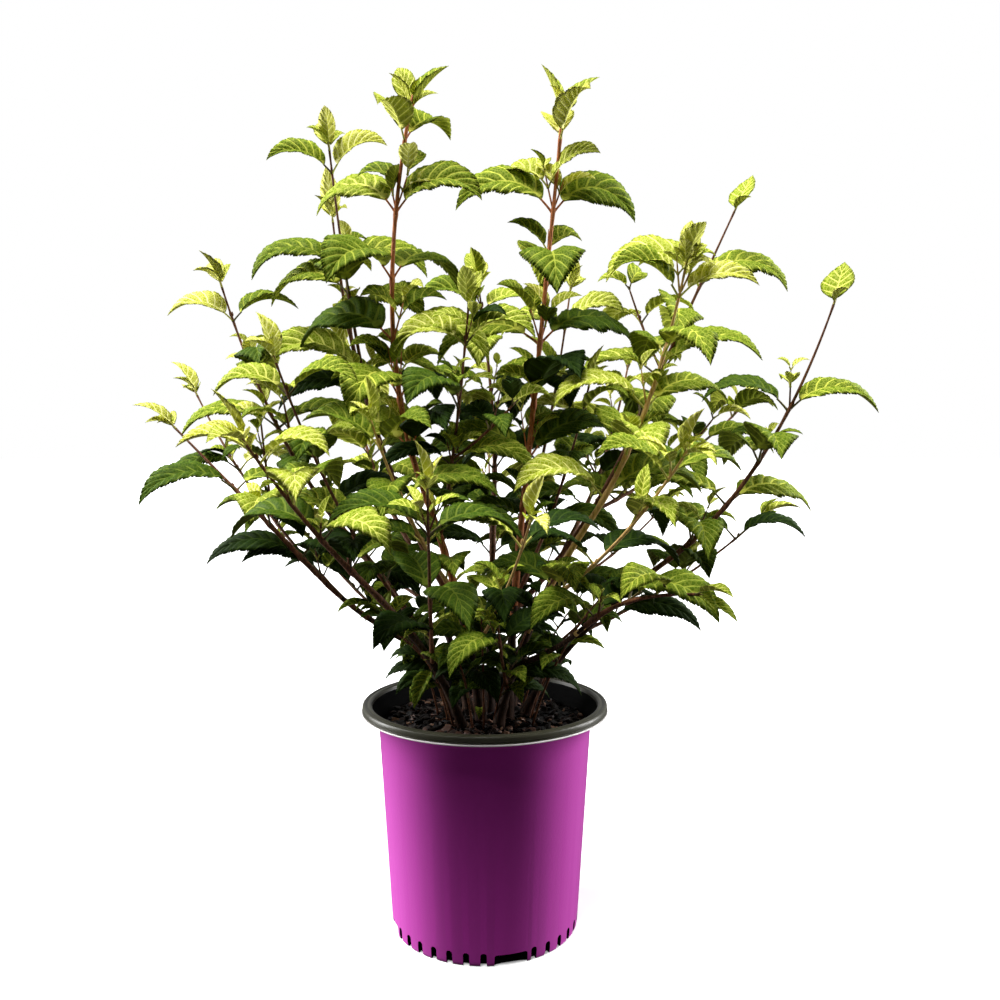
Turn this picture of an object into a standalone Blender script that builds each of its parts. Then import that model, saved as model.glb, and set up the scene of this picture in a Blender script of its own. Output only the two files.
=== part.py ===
"""A doublefile viburnum growing in a two-gallon nursery pot.

The shrub is several upright stems that rise from the potting bark, the boughs that branch
from them, and the leafy sprays that carry on from their tips. Each stem and bough is one
tapering limb. Each spray is one solid: a shoot, its side twigs and their opposite pairs of
arching leaves. The origin is the middle of the pot's underside, and the plant's front
faces -Y.
"""

import math
import random

import bmesh
import bpy
from mathutils import Matrix, Vector
from mathutils.bvhtree import BVHTree

# Fit
GAP = 0.0003  # between solids that touch on the real plant
LEAF_ROOM = 0.0006  # that a leaf keeps on both faces to anything of another spray

# Pot
RIM_RADIUS = 0.111
POT_HEIGHT = 0.204
BASE_RADIUS = 0.0845
WALL = 0.0018
FLOOR = 0.003
LIP_WIDTH = 0.009
LIP_DEPTH = 0.0105
LIP_ROLL = 0.0048  # height of the lip's rounded top
LIP_STEPS = 4  # of that arc
SHOULDER_DROP = 0.016  # from the rim's top to where the wall starts to flare out
SHOULDER_RADIUS = 0.0963
POT_STEPS = 36
NOTCHES = 36
NOTCH_WIDTH = 0.0048
NOTCH_HEIGHT = 0.0075
DRAINS = 4
DRAIN_WIDTH = 0.029
DRAIN_HEIGHT = 0.009
DRAIN_BEARING = -74  # degrees from +X of the drain at the front

# Potting bark
SOIL_TOP = 0.185

# Limbs
STEM_SIDES = 1  # bevel resolution of a stem, which gives 6 sides
FLARE = 0.0022  # how much wider a stem is where it leaves the bark
FLARE_HEIGHT = 0.011
STEM_SHARES = (-0.04, 0, 0.04, 0.09, 0.2, 0.4, 0.6, 0.8, 1)  # of a stem's sections along it
BOUGH_STEPS = 6
SHOOT_STEPS = 5
STEM_BEND = 0.25  # how far up its way a stem rises steeply before it leans out
SIDE_BEND, SIDE_DIP = 0.6, 0.2  # how a side limb sweeps out before it turns up
ONWARD = 0.42  # how far a spray keeps to the direction of the limb that it carries on from
BOWS = (0, 0.012, -0.012, 0.022, -0.022, 0.032, -0.032)  # sideways bends tried, in turn
SEAT_STEPS = 7  # that bring a limb up to the one that carries it
SEAT_PACE = 0.9  # share of the gap closed in each

# Leaves
SPINE_STEPS = 20
PETIOLE_STEPS = 3  # of the spine's steps that are leaf stalk
BLADE_STEPS = (6, 14)  # where the blade's broad base ends, and where its tip starts to taper
BLADE_SHARES = (0.94, 0.86)  # of the blade's half width at those sections
SMALL_STEPS, SMALL_SHARES = (9,), (1,)  # the same for a small leaf on a side twig
HALF_WIDTH = 0.245  # of a leaf's whole length
KEEL = 0.014  # the blade's thickness at its midrib, of the leaf's whole length
KEEL_RISE = 0.3  # share of that thickness that lies above the midrib's line
STALK_WIDTH, STALK_DEPTH = 0.0012, 0.0014  # half the stalk's width, and its thickness
ROOT_SHARE = 0.6  # of both where the stalk springs from the shoot
RISE = 47  # degrees that a grown leaf's stalk rises from level
YOUNG_ANGLE = 22  # degrees between a leaf at the tip and its shoot
OLD_SAG, YOUNG_SAG = 2.6, 0.5  # how far a leaf bends over under its weight
STALK_SAG = 0.3  # how much less its stalk bends
BEARING_SPREAD, RISE_SPREAD = 14, 9  # degrees either way between one leaf and the next
SAG_SPREAD, ROLL_SPREAD = 0.25, 0.3
LENGTHS = 0.9, 1.06  # shares of its spray's leaf length
YOUNG_SIZE = 0.45  # of the full length, for the pair at the shoot's tip
FACING = 0.95  # how far the blades turn their upper sides outwards, to the light
FACING_FROM = 0.16  # how far behind the pot's middle the point lies that they face away from
TURNS = (0, 16, -16, 32, -32, 48, -48)  # degrees that a leaf may turn away, in turn
CUTS = (1, 0.8)  # shares of its length tried, in turn
FACING_SIDE = 0.25  # how much less they turn to the side than to the front
YOUTH_RISE = 6  # how suddenly the leaves get younger near a shoot's tip

# A stem: name, its foot on the bark, its tip, and its radii there.
STEMS = (
    ("stem_tall", (-0.003, -0.006), (-0.054, -0.012, 0.395), 0.0046, 0.0030),
    ("stem_right", (0.021, 0.001), (0.035, 0.002, 0.385), 0.0046, 0.0030),
    ("stem_left", (-0.026, 0.004), (-0.130, 0.042, 0.350), 0.0042, 0.0027),
    ("stem_pale", (0.012, -0.018), (0.090, -0.045, 0.370), 0.0042, 0.0027),
    ("stem_far_right", (0.036, 0.014), (0.165, 0.004, 0.330), 0.0042, 0.0026),
    ("stem_low_left", (-0.020, -0.022), (-0.095, -0.100, 0.325), 0.0038, 0.0025),
    ("stem_back", (0.004, 0.020), (0.008, 0.095, 0.390), 0.0044, 0.0027),
    ("stem_back_left", (-0.016, 0.030), (-0.090, 0.130, 0.350), 0.0040, 0.0025),
    ("stem_back_right", (0.024, 0.034), (0.095, 0.130, 0.355), 0.0040, 0.0025),
)
# A bough: name, its stem, the share along it where the bough springs, its tip, its radii.
BOUGHS = (
    ("bough_twin", "stem_tall", 0.45, (-0.112, 0.040, 0.480), 0.0031, 0.0024),
    ("bough_far_left", "stem_left", 0.36, (-0.150, -0.010, 0.320), 0.0030, 0.0024),
    ("bough_high_right", "stem_right", 0.50, (0.140, 0.075, 0.440), 0.0030, 0.0023),
    ("bough_low_right", "stem_pale", 0.30, (0.085, -0.070, 0.285), 0.0028, 0.0022),
)

# A spray: name, limb, share along it (1 carries on from its tip), tip, leaf length,
# pairs of leaves, turn of the first pair in degrees from +X, bare share below the last pair,
# side twigs.
SPRAYS = (
    ("leaves_tall", "stem_tall", 1, (-0.061, -0.020, 0.737), 0.112, 7, -25, 0.07, 0),
    ("leaves_right_tall", "stem_right", 1, (0.070, 0.000, 0.739), 0.116, 7, 8, 0.06, 0),
    ("leaves_twin_high", "bough_twin", 0.9, (-0.142, 0.022, 0.714), 0.098, 4, 10, 0.08, 0),
    ("leaves_twin", "bough_twin", 1, (-0.146, 0.062, 0.655), 0.108, 4, 12, 0.30, 1),
    ("leaves_left_high", "stem_left", 1, (-0.258, 0.070, 0.600), 0.102, 6, 5, 0.12, 1),
    ("leaves_left_front", "stem_left", 0.62, (-0.167, -0.100, 0.512), 0.094, 5, 80, 0.12, 1),
    ("leaves_far_left", "bough_far_left", 1, (-0.283, 0.000, 0.456), 0.098, 4, 12, 0.45, 1),
    ("leaves_left_back", "bough_far_left", 0.7, (-0.300, 0.120, 0.495), 0.096, 4, 20, 0.40, 1),
    ("leaves_front_left", "stem_low_left", 1, (-0.165, -0.200, 0.442), 0.096, 5, 100, 0.12, 1),
    ("leaves_pale", "stem_pale", 1, (0.165, -0.080, 0.588), 0.106, 6, 5, 0.10, 1),
    ("leaves_right_high", "bough_high_right", 1, (0.248, 0.090, 0.674), 0.116, 5, 88, 0.32, 1),
    ("leaves_far_right", "stem_far_right", 1, (0.308, -0.020, 0.570), 0.102, 5, 90, 0.36, 1),
    ("leaves_right_back", "bough_high_right", 0.6, (0.285, 0.170, 0.488), 0.094, 5, 30, 0.15, 1),
    ("leaves_front_right", "stem_pale", 0.6, (0.144, -0.200, 0.434), 0.094, 5, 100, 0.12, 1),
    ("leaves_low_right_back", "stem_far_right", 0.55, (0.278, 0.090, 0.368), 0.094, 4, 20, 0.2, 1),
    ("leaves_low_right", "bough_low_right", 1, (0.165, -0.150, 0.324), 0.092, 4, 25, 0.2, 0),
    ("leaves_middle", "stem_tall", 0.55, (-0.087, -0.120, 0.458), 0.094, 5, 75, 0.12, 1),
    ("leaves_centre", "stem_tall", 0.80, (-0.012, -0.050, 0.560), 0.096, 5, 70, 0.15, 1),
    ("leaves_front", "stem_tall", 0.30, (0.037, -0.170, 0.385), 0.092, 4, 0, 0.15, 1),
    ("leaves_front_middle", "stem_low_left", 0.45, (-0.036, -0.205, 0.410), 0.096, 4, 20, 0.2, 1),
    ("leaves_inner_right", "stem_right", 0.55, (0.100, 0.050, 0.500), 0.094, 5, 80, 0.15, 1),
    ("leaves_behind_right", "stem_right", 0.75, (0.085, 0.100, 0.600), 0.098, 5, 70, 0.15, 0),
    ("leaves_back_top", "stem_back", 1, (-0.010, 0.130, 0.610), 0.100, 6, 15, 0.12, 1),
    ("leaves_back_left", "stem_back_left", 1, (-0.165, 0.225, 0.530), 0.096, 6, 40, 0.15, 1),
    ("leaves_back_right", "stem_back_right", 1, (0.160, 0.230, 0.530), 0.096, 6, 50, 0.15, 1),
    ("leaves_rear", "stem_back", 0.62, (0.000, 0.270, 0.450), 0.096, 5, 30, 0.15, 0),
    ("leaves_rear_left", "stem_back_left", 0.55, (-0.205, 0.205, 0.370), 0.094, 4, 40, 0.2, 0),
    ("leaves_rear_right", "stem_back_right", 0.55, (0.210, 0.215, 0.380), 0.094, 4, 45, 0.2, 0),
    ("leaves_rear_low", "stem_back", 0.35, (0.060, 0.245, 0.320), 0.090, 4, 45, 0.2, 0),
    ("leaves_low_left", "stem_left", 0.36, (-0.200, 0.120, 0.365), 0.090, 4, 45, 0.2, 0),
    ("leaves_base_left", "stem_tall", 0.16, (-0.098, -0.050, 0.300), 0.078, 3, 25, 0.3, 0),
    ("leaves_base_front", "stem_pale", 0.18, (0.012, -0.085, 0.290), 0.084, 3, -20, 0.3, 0),
    ("leaves_base_right", "stem_right", 0.20, (0.115, 0.020, 0.300), 0.080, 3, 15, 0.3, 0),
)
SHOOT_FOOT, SHOOT_TIP = 0.0034, 0.0020  # radii of a three-sided shoot's corners
TWIG_FOOT, TWIG_TIP = 0.0022, 0.0016
FIRST_PAIR, LAST_PAIR = 0.12, 0.96  # shares along a spray's shoot of its first and last pair
TWIG_STEPS = 2
TWIG_AFTER = 0.03  # share of the shoot between a pair and the twig from its axil
TWIG_LENGTH = 0.075
TWIG_LENGTHS = 0.8, 1.1  # shares of it
TWIG_ANGLE = 48  # degrees between a side twig and its shoot
TWIG_SPREAD = 25  # degrees either way round the shoot
TWIG_LIFT = 0.2  # how far a side twig's tip turns up, of its length
TWIG_LEAF = 0.72  # of the spray's leaf length
TWIG_PAIRS = ((0.6, 0.25), (0.97, 0.7))  # a pair's share along its twig, and its youth

# Colours
POT_PURPLE = (0.26, 0.02, 0.24)
SOIL_BROWN = (0.05, 0.03, 0.02)
STEM_BROWN = (0.22, 0.11, 0.06)
LEAF_GREEN = (0.10, 0.22, 0.03)


def clear_scene():
    for thing in list(bpy.data.objects):
        bpy.data.objects.remove(thing, do_unlink=True)


def new_collection(name, hidden=False):
    collection = bpy.data.collections.new(name)
    bpy.context.scene.collection.children.link(collection)
    collection.hide_render = hidden
    return collection


def material(name, colour, roughness):
    finish = bpy.data.materials.new(name)
    finish.use_nodes = True
    shader = finish.node_tree.nodes["Principled BSDF"]
    shader.inputs["Base Color"].default_value = (*colour, 1)
    shader.inputs["Roughness"].default_value = roughness
    shader.inputs["Metallic"].default_value = 0
    finish.diffuse_color = (*colour, 1)
    return finish


def mesh_object(name, mesh, collection, finish=None):
    thing = bpy.data.objects.new(name, mesh)
    collection.objects.link(thing)
    if finish:
        mesh.materials.clear()
        mesh.materials.append(finish)
    return thing


def evaluated_mesh(thing):
    graph = bpy.context.evaluated_depsgraph_get()
    return bpy.data.meshes.new_from_object(thing.evaluated_get(graph), depsgraph=graph)


# Pot


def lip_arc(inset):
    """The rolled top of the lip, from its inner side over to its outer side."""
    middle = RIM_RADIUS - LIP_WIDTH / 2
    turns = [math.pi * (1 - k / LIP_STEPS) for k in range(LIP_STEPS + 1)]
    across, up = LIP_WIDTH / 2 - inset, LIP_ROLL - inset
    return [
        (middle + across * math.cos(turn), POT_HEIGHT - LIP_ROLL + up * math.sin(turn))
        for turn in turns
    ]


def pot_profile():
    """The wall's half section, up its inside from the middle of the floor and down its outside."""
    shoulder = POT_HEIGHT - SHOULDER_DROP
    skirt = POT_HEIGHT - LIP_DEPTH
    return (
        [(0, FLOOR), (BASE_RADIUS - WALL, FLOOR), (SHOULDER_RADIUS - WALL, shoulder)]
        + lip_arc(0)
        + [(RIM_RADIUS, skirt), (RIM_RADIUS - WALL, skirt)]
        + lip_arc(WALL)[::-1]
        + [(SHOULDER_RADIUS, shoulder), (BASE_RADIUS, 0), (0, 0)]
    )


def turned(name, profile, collection, finish):
    """A solid of revolution about Z from a half section."""
    bm = bmesh.new()
    corners = [bm.verts.new((radius, 0, height)) for radius, height in profile]
    for first, second in zip(corners, corners[1:]):
        bm.edges.new((first, second))
    mesh = bpy.data.meshes.new(name)
    bm.to_mesh(mesh)
    bm.free()
    thing = mesh_object(name, mesh, collection, finish)
    screw = thing.modifiers.new("Turn", "SCREW")
    screw.steps = screw.render_steps = POT_STEPS
    screw.use_merge_vertices = True
    screw.merge_threshold = 0.00005
    return thing


def foot_openings():
    """The bearing, width and height of each drain opening and of each short notch between them."""
    drains = [math.radians(DRAIN_BEARING) + math.tau * k / DRAINS for k in range(DRAINS)]
    clear = (DRAIN_WIDTH / 2 + NOTCH_WIDTH) / BASE_RADIUS
    openings = [(drain, DRAIN_WIDTH, DRAIN_HEIGHT) for drain in drains]
    for k in range(NOTCHES):
        bearing = math.tau * k / NOTCHES
        if all(abs(math.remainder(bearing - drain, math.tau)) > clear for drain in drains):
            openings.append((bearing, NOTCH_WIDTH, NOTCH_HEIGHT))
    return openings


def cut_foot(pot, cutters):
    """Cuts the foot openings through the wall's lower edge."""
    bm = bmesh.new()
    for bearing, width, height in foot_openings():
        box = bmesh.ops.create_cube(bm, size=1)["verts"]
        bmesh.ops.scale(bm, verts=box, vec=(6 * WALL, width, 2 * height))
        bmesh.ops.translate(bm, verts=box, vec=(BASE_RADIUS, 0, 0))
        turn = Matrix.Rotation(bearing, 3, "Z")
        bmesh.ops.rotate(bm, verts=box, cent=(0, 0, 0), matrix=turn)
    mesh = bpy.data.meshes.new("foot_openings")
    bm.to_mesh(mesh)
    bm.free()
    cutter = mesh_object("foot_openings", mesh, cutters)
    cutter.hide_render = True
    cutter.display_type = "WIRE"
    cut = pot.modifiers.new("Foot openings", "BOOLEAN")
    cut.operation = "DIFFERENCE"
    cut.object = cutter


def soil_profile():
    slope = (SHOULDER_RADIUS - BASE_RADIUS) / (POT_HEIGHT - SHOULDER_DROP)
    bottom = FLOOR + GAP
    room = WALL + 2 * GAP
    return (
        (0, SOIL_TOP),
        (BASE_RADIUS + slope * SOIL_TOP - room, SOIL_TOP),
        (BASE_RADIUS + slope * bottom - room, bottom),
        (0, bottom),
    )


# Limbs


def curve_point(ends, share):
    """The point at a share of the way along a quadratic curve of three points."""
    start, middle, tip = ends
    return start * (1 - share) ** 2 + middle * 2 * share * (1 - share) + tip * share**2


def curve_way(ends, share):
    start, middle, tip = ends
    return ((middle - start) * (1 - share) + (tip - middle) * share).normalized()


def bowed(ends, bow):
    """The same curve with its middle moved sideways."""
    start, middle, tip = ends
    side = (tip - start).cross(Vector((0, 0, 1)))
    if side.length < 0.001:
        side = Vector((1, 0, 0))
    return start, middle + side.normalized() * bow, tip


def stem_curve(foot, tip):
    """A stem leaves the bark steeply and leans out further up."""
    start, tip = Vector((*foot, SOIL_TOP)), Vector(tip)
    rise = Vector((0, 0, STEM_BEND * (tip.z - start.z)))
    return start, start.lerp(tip, STEM_BEND) + rise, tip


def side_curve(parent, share, tip):
    """A bough or side spray sweeps out from its limb and then up."""
    start, tip = curve_point(parent, share), Vector(tip)
    dip = Vector((0, 0, SIDE_DIP * (tip.z - start.z)))
    return start, start.lerp(tip, SIDE_BEND) - dip, tip


def carried_on(parent, tip):
    """A spray that carries on from its limb's tip sets off in the limb's own direction."""
    start, tip = parent[2], Vector(tip)
    return start, start + curve_way(parent, 1) * ONWARD * (tip - start).length, tip


class Limb:
    """A limb's curve, its radii at both ends and the share along it where its solid starts."""

    def __init__(self, ends, radii, first=0):
        self.ends = ends
        self.radii = radii
        self.first = first

    def radius(self, share):
        return self.radii[0] + (self.radii[1] - self.radii[0]) * share


def side_limb(carrier, share, tip, radii):
    """A limb that springs from the side of another, or carries on from its tip, just clear of it."""
    if share == 1:
        ends = carried_on(carrier.ends, tip)
        distance = 2 * GAP
    else:
        ends = side_curve(carrier.ends, share, tip)
        lean = curve_way(ends, 0).dot(curve_way(carrier.ends, share))
        across = math.sqrt(max(1 - lean * lean, 0.05))
        distance = (carrier.radius(share) + GAP + radii[0] * abs(lean)) / across
    return Limb(ends, radii, distance / (2 * (ends[1] - ends[0]).length))


def tube(name, points, radii, collection):
    """A closed tapering round tube through these points, as a mesh."""
    data = bpy.data.curves.new(name, "CURVE")
    data.dimensions = "3D"
    data.bevel_depth = 1
    data.bevel_resolution = STEM_SIDES
    data.use_fill_caps = True
    spline = data.splines.new("POLY")
    spline.points.add(len(points) - 1)
    for knot, place, radius in zip(spline.points, points, radii):
        knot.co = (*place, 1)
        knot.radius = radius
    guide = bpy.data.objects.new(name + "_guide", data)
    collection.objects.link(guide)
    bpy.context.view_layer.update()
    mesh = evaluated_mesh(guide)
    bpy.data.objects.remove(guide, do_unlink=True)
    bm = bmesh.new()
    bm.from_mesh(mesh)
    bmesh.ops.remove_doubles(bm, verts=bm.verts, dist=0.00001)
    bmesh.ops.recalc_face_normals(bm, faces=bm.faces)
    bm.to_mesh(mesh)
    bm.free()
    return mesh


def cut_flat(mesh, height):
    """Cuts a stem off level at this height and closes the cut."""
    bm = bmesh.new()
    bm.from_mesh(mesh)
    every = list(bm.verts) + list(bm.edges) + list(bm.faces)
    cut = bmesh.ops.bisect_plane(
        bm, geom=every, plane_co=(0, 0, height), plane_no=(0, 0, 1), clear_inner=True
    )
    rim = [part for part in cut["geom_cut"] if isinstance(part, bmesh.types.BMEdge)]
    bmesh.ops.contextual_create(bm, geom=rim)
    bmesh.ops.recalc_face_normals(bm, faces=bm.faces)
    bm.to_mesh(mesh)
    bm.free()


def stem_mesh(name, limb, collection):
    """A stem from just under the bark's surface, flared there and cut off level."""
    points = [curve_point(limb.ends, share) for share in STEM_SHARES]
    radii = [
        limb.radius(share) + FLARE * math.exp(-max(place.z - SOIL_TOP, 0) / FLARE_HEIGHT)
        for place, share in zip(points, STEM_SHARES)
    ]
    mesh = tube(name, points, radii, collection)
    cut_flat(mesh, SOIL_TOP + GAP)
    return mesh


def bough_mesh(name, limb, collection):
    shares = [limb.first + (1 - limb.first) * k / BOUGH_STEPS for k in range(BOUGH_STEPS + 1)]
    points = [curve_point(limb.ends, share) for share in shares]
    return tube(name, points, [limb.radius(share) for share in shares], collection)


def loft(sections, point):
    """A closed solid through three-cornered sections, ending in a point."""
    bm = bmesh.new()
    rings = [[bm.verts.new(corner) for corner in section] for section in sections]
    bm.faces.new(rings[0])
    for ring, following in zip(rings, rings[1:]):
        for k in range(3):
            bm.faces.new((ring[k], following[k], following[k - 2], ring[k - 2]))
    apex = bm.verts.new(point)
    for k in range(3):
        bm.faces.new((rings[-1][k], apex, rings[-1][k - 2]))
    bmesh.ops.recalc_face_normals(bm, faces=bm.faces)
    if bm.calc_volume(signed=True) < 0:
        bmesh.ops.reverse_faces(bm, faces=bm.faces)
    return bm


def as_mesh(name, bm):
    mesh = bpy.data.meshes.new(name)
    bm.to_mesh(mesh)
    bm.free()
    return mesh


def shoot_mesh(name, limb, pieces):
    """A three-sided shoot or twig, tapering along its curve to a point."""
    sections = []
    for k in range(pieces):
        share = limb.first + (1 - limb.first) * k / pieces
        place, way = curve_point(limb.ends, share), curve_way(limb.ends, share)
        across = Vector((1, 0, 0)) - way * way.x
        across.normalize()
        along = way.cross(across)
        corners = [math.radians(90 + 120 * side) for side in range(3)]
        radius = limb.radius(share)
        sections.append(
            [place + (across * math.cos(a) + along * math.sin(a)) * radius for a in corners]
        )
    return as_mesh(name, loft(sections, limb.ends[2]))


# Keeping clear


def tree_of(mesh):
    bm = bmesh.new()
    bm.from_mesh(mesh)
    tree = BVHTree.FromBMesh(bm)
    bm.free()
    return tree


class Placed:
    """What stands already, so that the next piece can keep clear of it."""

    def __init__(self):
        self.trees = []

    def add(self, owner, mesh):
        self.trees.append((owner, tree_of(mesh)))

    def tree(self, owner):
        return next(tree for name, tree in self.trees if name == owner)

    def touched(self, tree, owner=None):
        return any(name != owner and tree.overlap(other) for name, other in self.trees)


def seat(limb, make, carrier):
    """Moves the limb's lower end towards the limb that carries it, until it stands just clear."""
    for _ in range(SEAT_STEPS):
        mesh = make(limb)
        start = curve_point(limb.ends, limb.first)
        end_face = 1.2 * limb.radii[0]
        corners = [corner.co for corner in mesh.vertices if (corner.co - start).length < end_face]
        across = [a.lerp(b, share) for a in corners for b in corners for share in (0, 0.25, 0.5)]
        gap = min(carrier.find_nearest(place)[3] for place in across)
        limb.first -= SEAT_PACE * (gap - GAP) / (2 * (limb.ends[1] - limb.ends[0]).length)
        bpy.data.meshes.remove(mesh)


def place_limb(name, limb, make, placed, carrier=None):
    """The limb and its mesh, with the first of the bows that keeps it clear."""
    for bow in BOWS:
        bent = Limb(bowed(limb.ends, bow), limb.radii, limb.first)
        if carrier:
            seat(bent, make, placed.tree(carrier))
        mesh = make(bent)
        if not placed.touched(tree_of(mesh)):
            placed.add(name, mesh)
            return bent, mesh
        bpy.data.meshes.remove(mesh)
    raise ValueError(name + " finds no clear way")


# Leaves


def spine(root, heading, length, sag):
    """The points and directions along a leaf's midrib, bending over under its own weight."""
    place, way = root.copy(), heading.copy()
    line = [(place.copy(), way.copy())]
    for step in range(SPINE_STEPS):
        give = sag * (STALK_SAG if step < PETIOLE_STEPS else 1) / SPINE_STEPS
        way = (way + Vector((0, 0, -give))).normalized()
        place = place + way * length / SPINE_STEPS
        line.append((place.copy(), way.copy()))
    return line


def leaf_shape(leaf, turn, cut, room=0, bare=False):
    """A keeled blade on its stalk. Room thickens it, and bare leaves the stalk out."""
    heading, side, tilt = leaf.held(turn)
    length = leaf.length * cut
    line = spine(leaf.root, heading, length, leaf.sag)
    steps, shares = (SMALL_STEPS, SMALL_SHARES) if leaf.small else (BLADE_STEPS, BLADE_SHARES)
    widths = [(PETIOLE_STEPS, STALK_WIDTH + room, STALK_DEPTH)]
    widths += [(k, HALF_WIDTH * length * share, KEEL * length) for k, share in zip(steps, shares)]
    if not bare:
        widths.insert(0, (0, STALK_WIDTH * ROOT_SHARE + room, STALK_DEPTH * ROOT_SHARE))
    sections = []
    for step, width, depth in widths:
        place, way = line[step]
        over = side.cross(way) * math.cos(tilt) + side * math.sin(tilt)
        edge = way.cross(over) * width
        lift = over * (depth * KEEL_RISE + room)
        drop = over * -(depth * (1 - KEEL_RISE) + room)
        sections.append((place + edge + lift, place + drop, place - edge + lift))
    return loft(sections, line[-1][0])


class Leaf:
    """One leaf: where it springs from its shoot, and how it is held."""

    def __init__(self, root, axis, bearing, length, youth, draw, small):
        self.root = root
        self.axis = axis
        self.small = small
        self.bearing = bearing + draw.uniform(-BEARING_SPREAD, BEARING_SPREAD)
        self.rise = math.radians(RISE + draw.uniform(-RISE_SPREAD, RISE_SPREAD))
        self.length = length * (1 - (1 - YOUNG_SIZE) * youth) * draw.uniform(*LENGTHS)
        self.upright = youth * youth
        sag = OLD_SAG + (YOUNG_SAG - OLD_SAG) * self.upright
        self.sag = sag + draw.uniform(-SAG_SPREAD, SAG_SPREAD)
        self.roll = draw.uniform(-ROLL_SPREAD, ROLL_SPREAD)

    def held(self, turn):
        """The stalk's direction, the level line across the leaf, and the blade's tilt about it."""
        across = (Vector((1, 0, 0)) - self.axis * self.axis.x).normalized()
        bearing = math.radians(self.bearing + turn)
        out = across * math.cos(bearing) + self.axis.cross(across) * math.sin(bearing)
        level = Vector((out.x, out.y, 0)).normalized()
        grown = level * math.cos(self.rise) + Vector((0, 0, math.sin(self.rise)))
        young = math.radians(YOUNG_ANGLE)
        upright = self.axis * math.cos(young) + out * math.sin(young)
        heading = grown.lerp(upright, self.upright).normalized()
        side = heading.cross(Vector((0, 0, 1))).normalized()
        front = Vector((self.root.x * FACING_SIDE, self.root.y - FACING_FROM, 0)).normalized()
        return heading, side, math.atan(front.dot(side) * FACING + self.roll)


def leafy_share(pair, count, space):
    """How far along the leafy stretch a pair stands: evenly spaced, but for the last."""
    return 1 if pair == count - 1 else (1 - space) * pair / (count - 2)


def shoot_share(along):
    return FIRST_PAIR + (LAST_PAIR - FIRST_PAIR) * along


def leaf_pairs(limb, count, length, turn, space, draw):
    """The opposite pairs along a spray's shoot, each turned a quarter from the last."""
    leaves = []
    for pair in range(count):
        along = leafy_share(pair, count, space)
        share = shoot_share(along)
        root, axis = curve_point(limb.ends, share), curve_way(limb.ends, share)
        youth = along**YOUTH_RISE
        for side in (0, 180):
            bearing = turn + 90 * pair + side
            leaves.append(Leaf(root, axis, bearing, length, youth, draw, pair == count - 1))
    return leaves


def side_twigs(limb, count, pairs, turn, space, draw):
    """A spray's side twigs, which spring from the axils of its lower pairs."""
    twigs = []
    for k in range(count):
        share = shoot_share(leafy_share(k + 1, pairs, space)) + TWIG_AFTER
        start, axis = curve_point(limb.ends, share), curve_way(limb.ends, share)
        across = (Vector((1, 0, 0)) - axis * axis.x).normalized()
        bearing = turn + 90 * (k + 1) + draw.choice((0, 180))
        bearing = math.radians(bearing + draw.uniform(-TWIG_SPREAD, TWIG_SPREAD))
        out = across * math.cos(bearing) + axis.cross(across) * math.sin(bearing)
        angle = math.radians(TWIG_ANGLE)
        way = axis * math.cos(angle) + out * math.sin(angle)
        length = TWIG_LENGTH * draw.uniform(*TWIG_LENGTHS)
        middle = start + way * length / 2
        tip = start + way * length + Vector((0, 0, TWIG_LIFT * length))
        twigs.append(Limb((start, middle, tip), (TWIG_FOOT, TWIG_TIP)))
    return twigs


def twig_leaves(twig, length, turn, draw):
    """A side twig's two pairs: one half way, and a young one at its tip."""
    leaves = []
    for pair, (share, youth) in enumerate(TWIG_PAIRS):
        root, axis = curve_point(twig.ends, share), curve_way(twig.ends, share)
        for side in (0, 180):
            bearing = turn + 45 + 90 * pair + side
            leaves.append(Leaf(root, axis, bearing, length * TWIG_LEAF, youth, draw, True))
    return leaves


def grow_leaf(leaf, name, placed, blades):
    """The leaf's mesh, turned or cut until it stands clear, or None where it can't."""
    for cut in CUTS:
        for turn in TURNS:
            shape = leaf_shape(leaf, turn, cut, room=LEAF_ROOM)
            test = BVHTree.FromBMesh(shape)
            shape.free()
            if placed.touched(test, name):
                continue
            shape = leaf_shape(leaf, turn, cut, bare=True)
            blade = BVHTree.FromBMesh(shape)
            shape.free()
            if any(blade.overlap(other) for other in blades):
                continue
            blades.append(blade)
            return as_mesh(name + "_leaf", leaf_shape(leaf, turn, cut))
    return None


def fuse(name, parts, collection, finish):
    """One solid from a shoot and the leaves and twigs sunk into it."""
    group = new_collection(name + "_parts", hidden=True)
    base, *others = [mesh_object(f"{name}_part_{k}", mesh, group) for k, mesh in enumerate(parts)]
    group.objects.unlink(base)
    bpy.context.scene.collection.objects.link(base)
    join = base.modifiers.new("Fuse", "BOOLEAN")
    join.operation = "UNION"
    join.operand_type = "COLLECTION"
    join.collection = group
    join.solver = "MANIFOLD"
    bpy.context.view_layer.update()
    fused = evaluated_mesh(base)
    for helper in others + [base]:
        bpy.data.objects.remove(helper, do_unlink=True)
    bpy.data.collections.remove(group)
    return mesh_object(name, fused, collection, finish)


def grow_spray(number, name, limb, mesh, length, pairs, turn, space, twigs, placed, plant):
    """The leaves and twigs of one spray, fused to its shoot."""
    draw = random.Random(number)
    parts, blades = [mesh], []
    leaves = leaf_pairs(limb, pairs, length, turn, space, draw)
    for twig in side_twigs(limb, twigs, pairs, turn, space, draw):
        own = twig_leaves(twig, length, turn, draw)
        twig_mesh = shoot_mesh(name + "_twig", twig, TWIG_STEPS)
        if not placed.touched(tree_of(twig_mesh), name):
            parts.append(twig_mesh)
            leaves += own
    grown = [grow_leaf(leaf, name, placed, blades) for leaf in leaves]
    parts += [leaf for leaf in grown if leaf]
    green = material(name + "_green", LEAF_GREEN, 0.5)
    spray = fuse(name, parts, plant, green)
    placed.add(name, spray.data)
    print(f"{name}: {len(grown) - grown.count(None)} of {len(grown)} leaves")


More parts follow.
